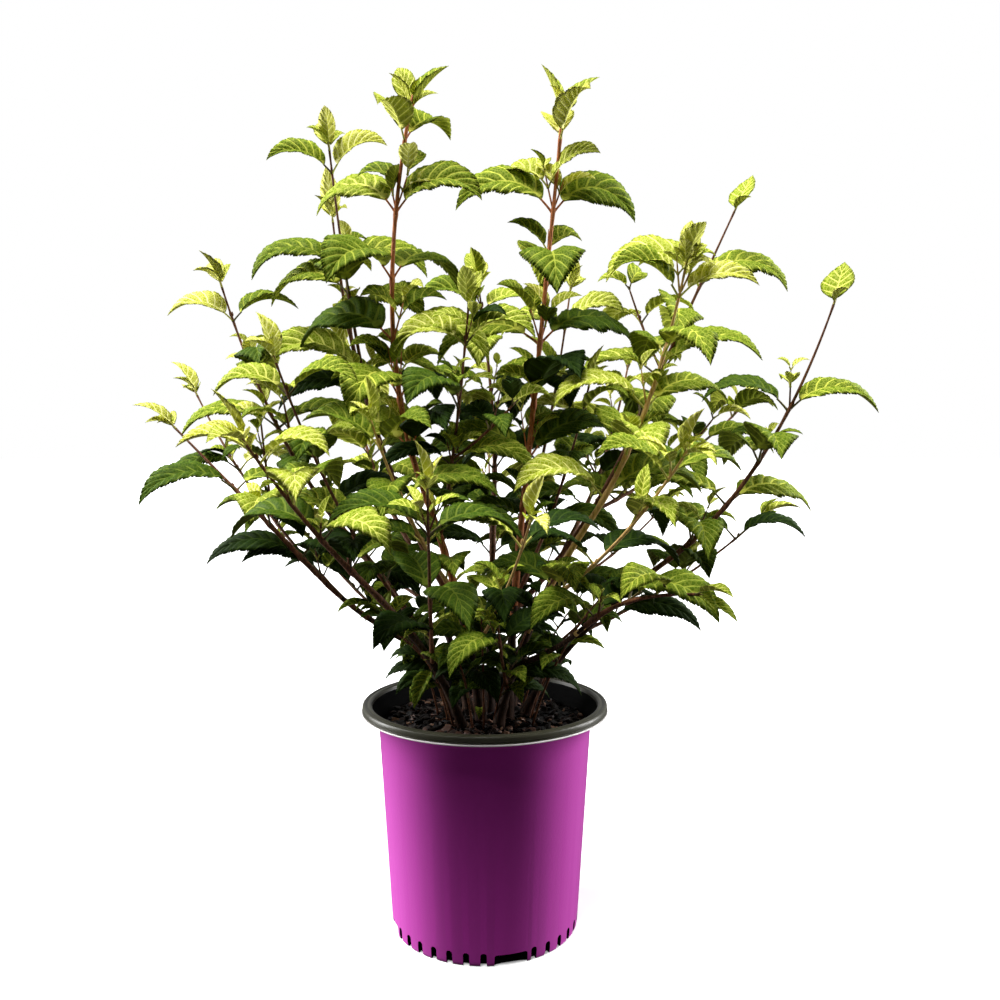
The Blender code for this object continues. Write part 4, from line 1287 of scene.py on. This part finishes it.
class Bent:
    """The final shape of one leaf, with what was drawn for it."""

    def __init__(self, leaf, turn, cut, draw, open_tip=False):
        heading, side, tilt = leaf.held(turn)
        high = clamped((leaf.root.z - LOW_LEAVES) / LOW_TO_HIGH)
        self.tilt = (HANG_LOW + (HANG_HIGH - HANG_LOW) * high) * tilt
        self.length = leaf.length * cut
        sag = leaf.sag * (SAG_LOW + (1 - SAG_LOW) * high) + draw.uniform(0.3, 1.0) * leaf.youth**3
        if open_tip:
            sag = OPEN_SAG
        line = spine(leaf.root, heading, self.length, sag, FINER)
        self.places = np.array([place for place, _ in line])
        self.ways = np.array([way for _, way in line])
        self.side = np.array(side)
        self.fold = draw.uniform(0.25, 0.6) + 0.2 * leaf.youth
        self.arch = draw.uniform(0.2, 0.5) * (1 - leaf.youth)
        self.wave = draw.uniform(0.02, 0.06)
        self.waves = draw.uniform(2, 4)
        self.phase = draw.uniform(0, math.tau)
        self.twist = draw.uniform(-0.3, 0.3)
        self.width = HALF_WIDTH * self.length * draw.uniform(0.90, 1.04) * (1 - 0.2 * leaf.youth**2)
        self.width *= SLIM_LOW + (1 - SLIM_LOW) * high
        if open_tip:
            self.tilt, self.fold, self.twist = 0, OPEN_FOLD, 0
            self.width *= OPEN_WIDTH

    def at(self, shares):
        """Places and directions at shares of the whole leaf, from the foot of its stalk."""
        steps = np.linspace(0, 1, len(self.places))
        place, way = (np.column_stack([np.interp(shares, steps, line) for line in table.T])
                      for table in (self.places, self.ways))
        return place, way / np.linalg.norm(way, axis=1)[:, None]

    def blade(self, pattern):
        """The corners of the flat pattern, bent to this leaf."""
        place, way = self.at(PETIOLE_SHARE + (1 - PETIOLE_SHARE) * pattern.along)
        tilt = (self.tilt + self.twist * (pattern.along - 0.3))[:, None]
        over = np.cross(self.side, way) * np.cos(tilt) + self.side * np.sin(tilt)
        edge = np.cross(way, over)
        wide = np.abs(pattern.across)
        rise = self.fold * wide - self.arch * wide**2
        phase = self.phase * np.sign(pattern.across)
        rise += self.wave * np.sin(math.tau * self.waves * pattern.along + phase) * wide
        lift = rise * self.width + PUFF * self.length * pattern.puff
        lift -= THICKNESS * self.length * pattern.thick
        return place + edge * (pattern.across * self.width)[:, None] + over * lift[:, None]

    def stalk(self):
        """The leaf stalk, wide where it clasps the shoot."""
        shares = np.linspace(0, PETIOLE_SHARE * 1.12, 7)
        place, _ = self.at(shares)
        slim = 0.00062 + 0.0042 * self.length * (1 - shares / PETIOLE_SHARE * 0.3)
        slim = slim * (1 + 0.7 * np.exp(-shares / 0.02))
        return rings(place, slim, 6)


# %% [markdown]
# ## Leaf colours
#
# Young leaves at the tips are yellow-green with pale veins, and the leaves darken with age
# to a dull dark green. Seven tints run from one to the other. Each tint is a plain colour
# for the skin, one for its veins and one for its duller underside. A leaf is dealt its
# tint by how young it is and by how high, how far out and how near the front it hangs, with
# some chance in it. Where it hangs is painted light and shade: lighter where the light
# reaches the outside of the crown, darker deep inside it, where shade falls.

# %% Tints
# The darkest skins are deeper than the leaves' own green: painted shade inside the crown. The veins are
# pale of their own; on the brighter tints they are paler still, a painted highlight where light catches
# the ribs.
TINTS = (
    ("deepest", (0.010, 0.026, 0.002), (0.034, 0.062, 0.007), (0.027, 0.042, 0.007)),
    ("deep", (0.034, 0.070, 0.003), (0.125, 0.170, 0.017), (0.080, 0.104, 0.014)),
    ("dark", (0.078, 0.130, 0.005), (0.330, 0.375, 0.045), (0.150, 0.180, 0.023)),
    ("green", (0.120, 0.184, 0.007), (0.550, 0.580, 0.080), (0.240, 0.280, 0.030)),
    ("fresh", (0.192, 0.260, 0.010), (0.730, 0.740, 0.160), (0.335, 0.380, 0.045)),
    ("lime", (0.285, 0.340, 0.017), (0.850, 0.840, 0.250), (0.450, 0.480, 0.062)),
    ("gold", (0.410, 0.435, 0.034), (0.900, 0.880, 0.360), (0.550, 0.550, 0.090)),
)
LEAF_FINISHES = []
NET_DEPTH = 0.00014


def netted(name, skin, line, amount, roughness, depth, specular):
    """A leaf's skin: a mottled colour under a net of fine veins."""
    made = mottled(name, skin, roughness, 0.35, 55.0, 620.0, depth, specular)
    tree = made.node_tree
    shader = tree.nodes["Principled BSDF"]
    under = shader.inputs["Base Color"].links[0].from_socket
    net = add_node(tree, "ShaderNodeGroup", {
        "Color": under, "Line": (*line, 1), "Amount": amount}, node_tree=NET)
    tree.links.new(net.outputs["Color"], shader.inputs["Base Color"])
    add_bump(tree, shader, net.outputs["Height"], NET_DEPTH)
    return made


for title, skin, vein, under in TINTS:
    LEAF_FINISHES.append(netted("leaf_" + title, skin, vein, 0.38, 0.6, 0.00005, 0.05))
    LEAF_FINISHES.append(mottled("leaf_vein_" + title, vein, 0.6, 0.25, 90.0, 900.0, 0.00005, 0.05))
    LEAF_FINISHES.append(netted("leaf_under_" + title, under, vein, 0.25, 0.65, 0.00005, 0.04))
print("Leaf finishes:", len(LEAF_FINISHES))


# The place weights paint light and shade into the tint: lighter high, far out and at the front of the
# crown. The youth weight is the real paler green of young leaves.
CROWN_LOW, CROWN_DEPTH, CROWN_RADIUS, CROWN_FRONT = 0.30, 0.42, 0.30, 0.2
LIGHT_HIGH, LIGHT_OUT, LIGHT_FRONT, LIGHT_YOUNG = 0.40, 0.34, 0.17, 0.28
LIGHT_LEAST = 0.06
SPREAD_LOW, SPREAD_LESS = 0.24, 0.08  # chance low in the crown, and how much less at its top


def tint_of(place, youth, draw):
    """Which tint a leaf takes, from how young it is and, as painted light and shade, from where it
    hangs.
    """
    high = (place.z - CROWN_LOW) / CROWN_DEPTH
    outward = min(0.9, math.hypot(place.x, place.y) / CROWN_RADIUS)
    front = clamped(-place.y / CROWN_FRONT)
    light = LIGHT_HIGH * high + LIGHT_OUT * outward * min(1, high + 0.5) + LIGHT_FRONT * front
    light += LIGHT_LEAST
    light += LIGHT_YOUNG * youth + draw.gauss(0, SPREAD_LOW - SPREAD_LESS * clamped(high))
    return max(0, min(len(TINTS) - 1, int(light * len(TINTS) * 1.05)))


# %% [markdown]
# ## Growing the crown
#
# Every spray is grown again in the order of the source: its shoot, its pairs, its side
# twigs and their leaves. Then the rule is carried one step finer. In many axils sits a bud,
# and from some of them a short new shoot has sprung with one or two pairs of small leaves.

# %% Shoots, buds and small leaves
SHOOT_SIDES = 10
SHOOT_PACE = 0.006  # between a shoot's rings
LEADER_RADII = (0.0027, 0.0014)
ONWARD_RADII = (0.0026, 0.0008)  # for a spray that carries on from a limb's tip
SIDE_RADII = (0.0019, 0.0008)
TWIG_RADII = (0.0013, 0.0009)
BUD_LENGTH, BUD_WIDTH = 0.0055, 0.0026


def shoot_rings(ends, radii, nodes):
    """A shoot whose rings swell where the pairs of leaves stand."""
    length = (ends[1] - ends[0]).length + (ends[2] - ends[1]).length
    shares = np.linspace(0.0, 1, max(6, int(length / SHOOT_PACE)))
    points = [curve_point(ends, share) for share in shares]
    wide = radii[0] + (radii[1] - radii[0]) * shares
    for node in nodes:
        wide = wide * (1 + 0.38 * np.exp(-(((shares - node) * length) / 0.0042) ** 2))
    wide[-1] *= 0.5
    return rings(points, wide, SHOOT_SIDES)


def bud_shape():
    """A plump pointed bud along Z."""
    heights = np.array((0, 0.12, 0.35, 0.6, 0.85, 1.0))
    wide = np.array((0.25, 0.42, 0.5, 0.4, 0.2, 0.03))
    points = np.column_stack((0 * heights, 0 * heights, heights * BUD_LENGTH))
    return rings(points, wide * BUD_WIDTH, 6)


BUD_POINTS, BUD_FACES = bud_shape()


def add_bud(heap, place, way, size, part):
    """The bud, turned to point along a direction."""
    turn = np.array(way.to_track_quat("Z", "X").to_matrix())
    heap.add_plain((BUD_POINTS * size @ turn.T + np.array(place), BUD_FACES), part)


# %% Dressing a leaf
OPEN_TINT = 4
GREEN_FROM = 5  # tints from here up have a green stalk
SMALL_LEAF = 0.052  # below this length a leaf takes the coarser pattern


def lay_blade(leaves, bent, pattern, tint):
    """A bent blade in its tint, which has a finish for the skin, the veins and the underside."""
    leaves.add(bent.blade(pattern), pattern.faces, [3 * tint + part for part in pattern.parts])


def add_leaf(leaf, turn, cut, draw, leaves, twigs, stalk, open_tip=False, tint=None):
    """The blade, in its tint, and its stalk."""
    bent = Bent(leaf, turn, cut, draw, open_tip)
    if tint is None:
        tint = OPEN_TINT if open_tip else tint_of(leaf.root, leaf.youth, draw)
    lay_blade(leaves, bent, SMALL_BLADE if bent.length < SMALL_LEAF else FULL_BLADE, tint)
    twigs.add_plain(bent.stalk(), stalk if tint < GREEN_FROM else GREEN_STALK)
    return bent


SPRIG_CHANCE = 0.42
SPRIG_LENGTHS = 0.010, 0.030
SPRIG_LEAVES = 0.022, 0.046
SPRIG_RADII = 0.0009, 0.0006
SPRIG_YOUTHS = 0.55, 0.8
# Some shoots are lusher than the rest: more of their buds have sprung, and further.
LUSH = {"leaves_tall": 1.4, "leaves_right_tall": 1.4, "leaves_behind_right": 1.6,
        "leaves_middle": 0.6, "leaves_left_front": 0.6, "leaves_front_left": 0.7}


def add_sprig(root, axis, out, draw, leaves, twigs, part, lush=1):
    """A short new shoot from an axil, with one or two pairs of small leaves."""
    way = (axis * draw.uniform(0.6, 1.0) + out * draw.uniform(0.5, 0.9)).normalized()
    length = draw.uniform(*SPRIG_LENGTHS) * lush
    ends = root, root + way * length / 2, root + way * length + UP * 0.15 * length
    twigs.add_plain(shoot_rings(ends, SPRIG_RADII, ()), part)
    turn = draw.uniform(0, 180)
    for pair, youth in enumerate(SPRIG_YOUTHS[draw.choice((0, 0, 1)):]):
        size = lush * draw.uniform(*SPRIG_LEAVES) * (1 if pair == 0 else 0.7)
        size /= 1 - (1 - YOUNG_SIZE) * youth
        place = curve_point(ends, 0.55 + 0.43 * pair), curve_way(ends, 0.9)
        for leaf in leaf_pair(place, turn + 90 * pair, size, youth, draw):
            add_leaf(leaf, 0, 1, draw, leaves, twigs, GREEN_STALK)


HEART = ((0.965, 0.88, 0.30), (0.99, 0.96, 0.17))  # each pair's share, youth and size


def add_heart(ends, turn, length, draw, leaves):
    """The last unfolding pairs at a shoot's tip, too small for the solid model."""
    for pair, (share, youth, size) in enumerate(HEART):
        whole = length * size / (1 - (1 - YOUNG_SIZE) * youth)
        bearing = turn + 45 + 90 * pair
        for leaf in leaf_pair(curve_at(ends, share), bearing, whole, youth, draw):
            bent = Bent(leaf, 0, 1, draw)
            lay_blade(leaves, bent, SMALL_BLADE, tint_of(leaf.root, leaf.youth, draw))


# %% One spray
OPEN_TIPS = ("leaves_right_high", "leaves_far_right")  # each ends in one broad leaf, held upright
LESSER = 0.5  # size of the leaf in front of it
BUD_YOUTH = 0.6  # the axils of younger leaves are bare
SHOOT_BARK = {
    "leaves_tall": RED, "leaves_right_tall": RED, "leaves_pale": PALE, "leaves_far_right": BROWN,
    "leaves_front": PALE, "leaves_front_right": PALE, "leaves_middle": PALE,
}


def grow_spray(number, spray, leaves, twigs):
    """All the leaves of one spray. The growth draws come first, in the source's order."""
    name, _, carried, _, length, pairs, turn, space, twig_count = spray
    ends, tree = limbs[name], surface_of(name)
    draw = random.Random(number)
    own = leaf_pairs(ends, pairs, length, turn, space, draw)
    stalks = []
    for twig in side_twigs(ends, twig_count, pairs, turn, space, draw):
        more = twig_leaves(twig, length, turn, draw)
        if depth_in(tree, curve_point(twig, 0.8)) > 0:
            stalks.append(twig)
            own += more
    bark = SHOOT_BARK.get(name, BROWN)
    nodes = [shoot_share(leafy_share(pair, pairs, space)) for pair in range(pairs)]
    radii = LEADER_RADII if bark == RED else ONWARD_RADII if carried == 1 else SIDE_RADII
    twigs.add_plain(shoot_rings(ends, radii, nodes), bark)
    for twig in stalks:
        twigs.add_plain(shoot_rings(twig, TWIG_RADII, (TWIG_PAIRS[0][0],)), bark)
    detail = random.Random(1000 + number)
    stalk = {RED: RED, PALE: GREEN_STALK}.get(bark, DARK_STALK)
    grown = 0
    for leaf in own:
        found = as_held(leaf, tree)
        if found is None:
            continue
        grown += 1
        last = name in OPEN_TIPS and leaf.youth == 1
        behind = leaf.held(0)[0].y > 0
        cut = found[1] * (LESSER if last and not behind else 1)
        bent = add_leaf(leaf, found[0], cut, detail, leaves, twigs, stalk, last and behind)
        out = Vector(bent.ways[0])
        axil = leaf.root + leaf.axis * 0.004 + out * 0.001
        lush = LUSH.get(name, 1)
        if leaf.youth >= BUD_YOUTH:
            continue
        if detail.random() < SPRIG_CHANCE * lush:
            add_sprig(axil, leaf.axis, out, detail, leaves, twigs, bark, lush)
        else:
            way = (leaf.axis + out * 0.35).normalized()
            add_bud(twigs, axil, way, detail.uniform(0.7, 1.1), bark)
    if name not in OPEN_TIPS:
        add_heart(ends, turn, length, detail, leaves)
    return grown, len(own)


# %% Stray leaves
# A leaf that springs straight from an old stem: the stem, the share along it, the leaf's
# bearing and rise in degrees, and its length.
STRAYS = (
    ("stem_low_left", 0.42, -123, -15, 0.078), ("stem_tall", 0.06, -85, 20, 0.046),
    ("stem_pale", 0.20, -55, 20, 0.056), ("stem_tall", 0.20, -150, 15, 0.054),
    ("stem_back", 0.16, 60, 20, 0.060), ("stem_back_left", 0.18, 150, 10, 0.058),
)
STRAY_YOUTH = 0.75
STRAY_TINT = 2


def add_strays(leaves, twigs):
    """Small leaves that hang low over the bark chips."""
    draw = random.Random(500)
    for name, share, bearing, rise, length in STRAYS:
        leaf = Leaf(*curve_at(limbs[name], share), bearing, length, STRAY_YOUTH, draw, True)
        leaf.rise, leaf.upright = math.radians(rise), 0
        add_leaf(leaf, 0, 1, draw, leaves, twigs, DARK_STALK, tint=STRAY_TINT)


# %% Low shoots
# Thin shoots spring from the bark chips among the stems and fill the foot of the plant with
# small dark leaves.
WISPS = 16
WISP_FEET = 0.016, 0.050  # distance of their feet from the middle
WISP_HEIGHTS = 0.06, 0.17
WISP_LEAN = 0.25, 0.65  # how far a shoot leans outwards, of its height
WISP_RADII = 0.0011, 0.0007
WISP_PAIRS = (0.42, 0.15, 0.9), (0.70, 0.3, 0.95), (0.97, 0.6, 1.0)  # share, youth, size
WISP_LEAVES = 0.050, 0.070
WISP_TINTS = 0, 0, 1, 1, 2


def add_wisps(leaves, twigs):
    """The low shoots, all round the pot."""
    draw = random.Random(900)
    for k in range(WISPS):
        bearing = math.tau * k / WISPS + draw.uniform(-0.15, 0.15)
        out = Vector((math.cos(bearing), math.sin(bearing), 0))
        height = draw.uniform(*WISP_HEIGHTS)
        foot = out * draw.uniform(*WISP_FEET) + UP * (SOIL_TOP - 0.002)
        lean = out * height * draw.uniform(*WISP_LEAN)
        ends = foot, foot + lean * 0.3 + UP * height * 0.6, foot + lean + UP * height
        twigs.add_plain(shoot_rings(ends, WISP_RADII, [pair[0] for pair in WISP_PAIRS]), BROWN)
        length, turn = draw.uniform(*WISP_LEAVES), draw.uniform(0, 90)
        for pair, (share, youth, size) in enumerate(WISP_PAIRS):
            place = curve_at(ends, share)
            for leaf in leaf_pair(place, turn + 90 * pair, length * size, youth, draw):
                add_leaf(leaf, 0, 1, draw, leaves, twigs, DARK_STALK, tint=draw.choice(WISP_TINTS))


# %% Join the sprays in parts of the crown
def part_of_crown(tip):
    """Which part of the crown a spray joins, from where its tip is."""
    x, y, z = tip
    if z < 0.37:
        return "foot"
    if y > 0.125:
        return "rear"
    if z > 0.6 and abs(x) < 0.15:
        return "top"
    return "left" if x < -0.11 else "right" if x > 0.11 else "middle"


MOST_TRIANGLES = 190000
crown = {}
for number, spray in enumerate(SPRAYS, 1):
    leaves, twigs, names = crown.setdefault(part_of_crown(spray[3]), (Heap(), Heap(), []))
    grown, tried = grow_spray(number, spray, leaves, twigs)
    names.append(spray[0])
    print(f"{spray[0]}: {grown} of {tried} leaves")
add_strays(*crown["foot"][:2])
add_wisps(*crown["foot"][:2])
for part, (leaves, twigs, names) in crown.items():
    finish_piece(leaves.build("crown_leaves_" + part, LEAF_FINISHES), "foliage", *names)
    finish_piece(twigs.build("crown_twigs_" + part, BARK_FINISHES), "stem_bark", *names)
    print(part, "leaves:", leaves.triangles(), "twigs:", twigs.triangles(), "triangles")
    if leaves.triangles() > MOST_TRIANGLES:
        raise ValueError(part + " needs splitting")
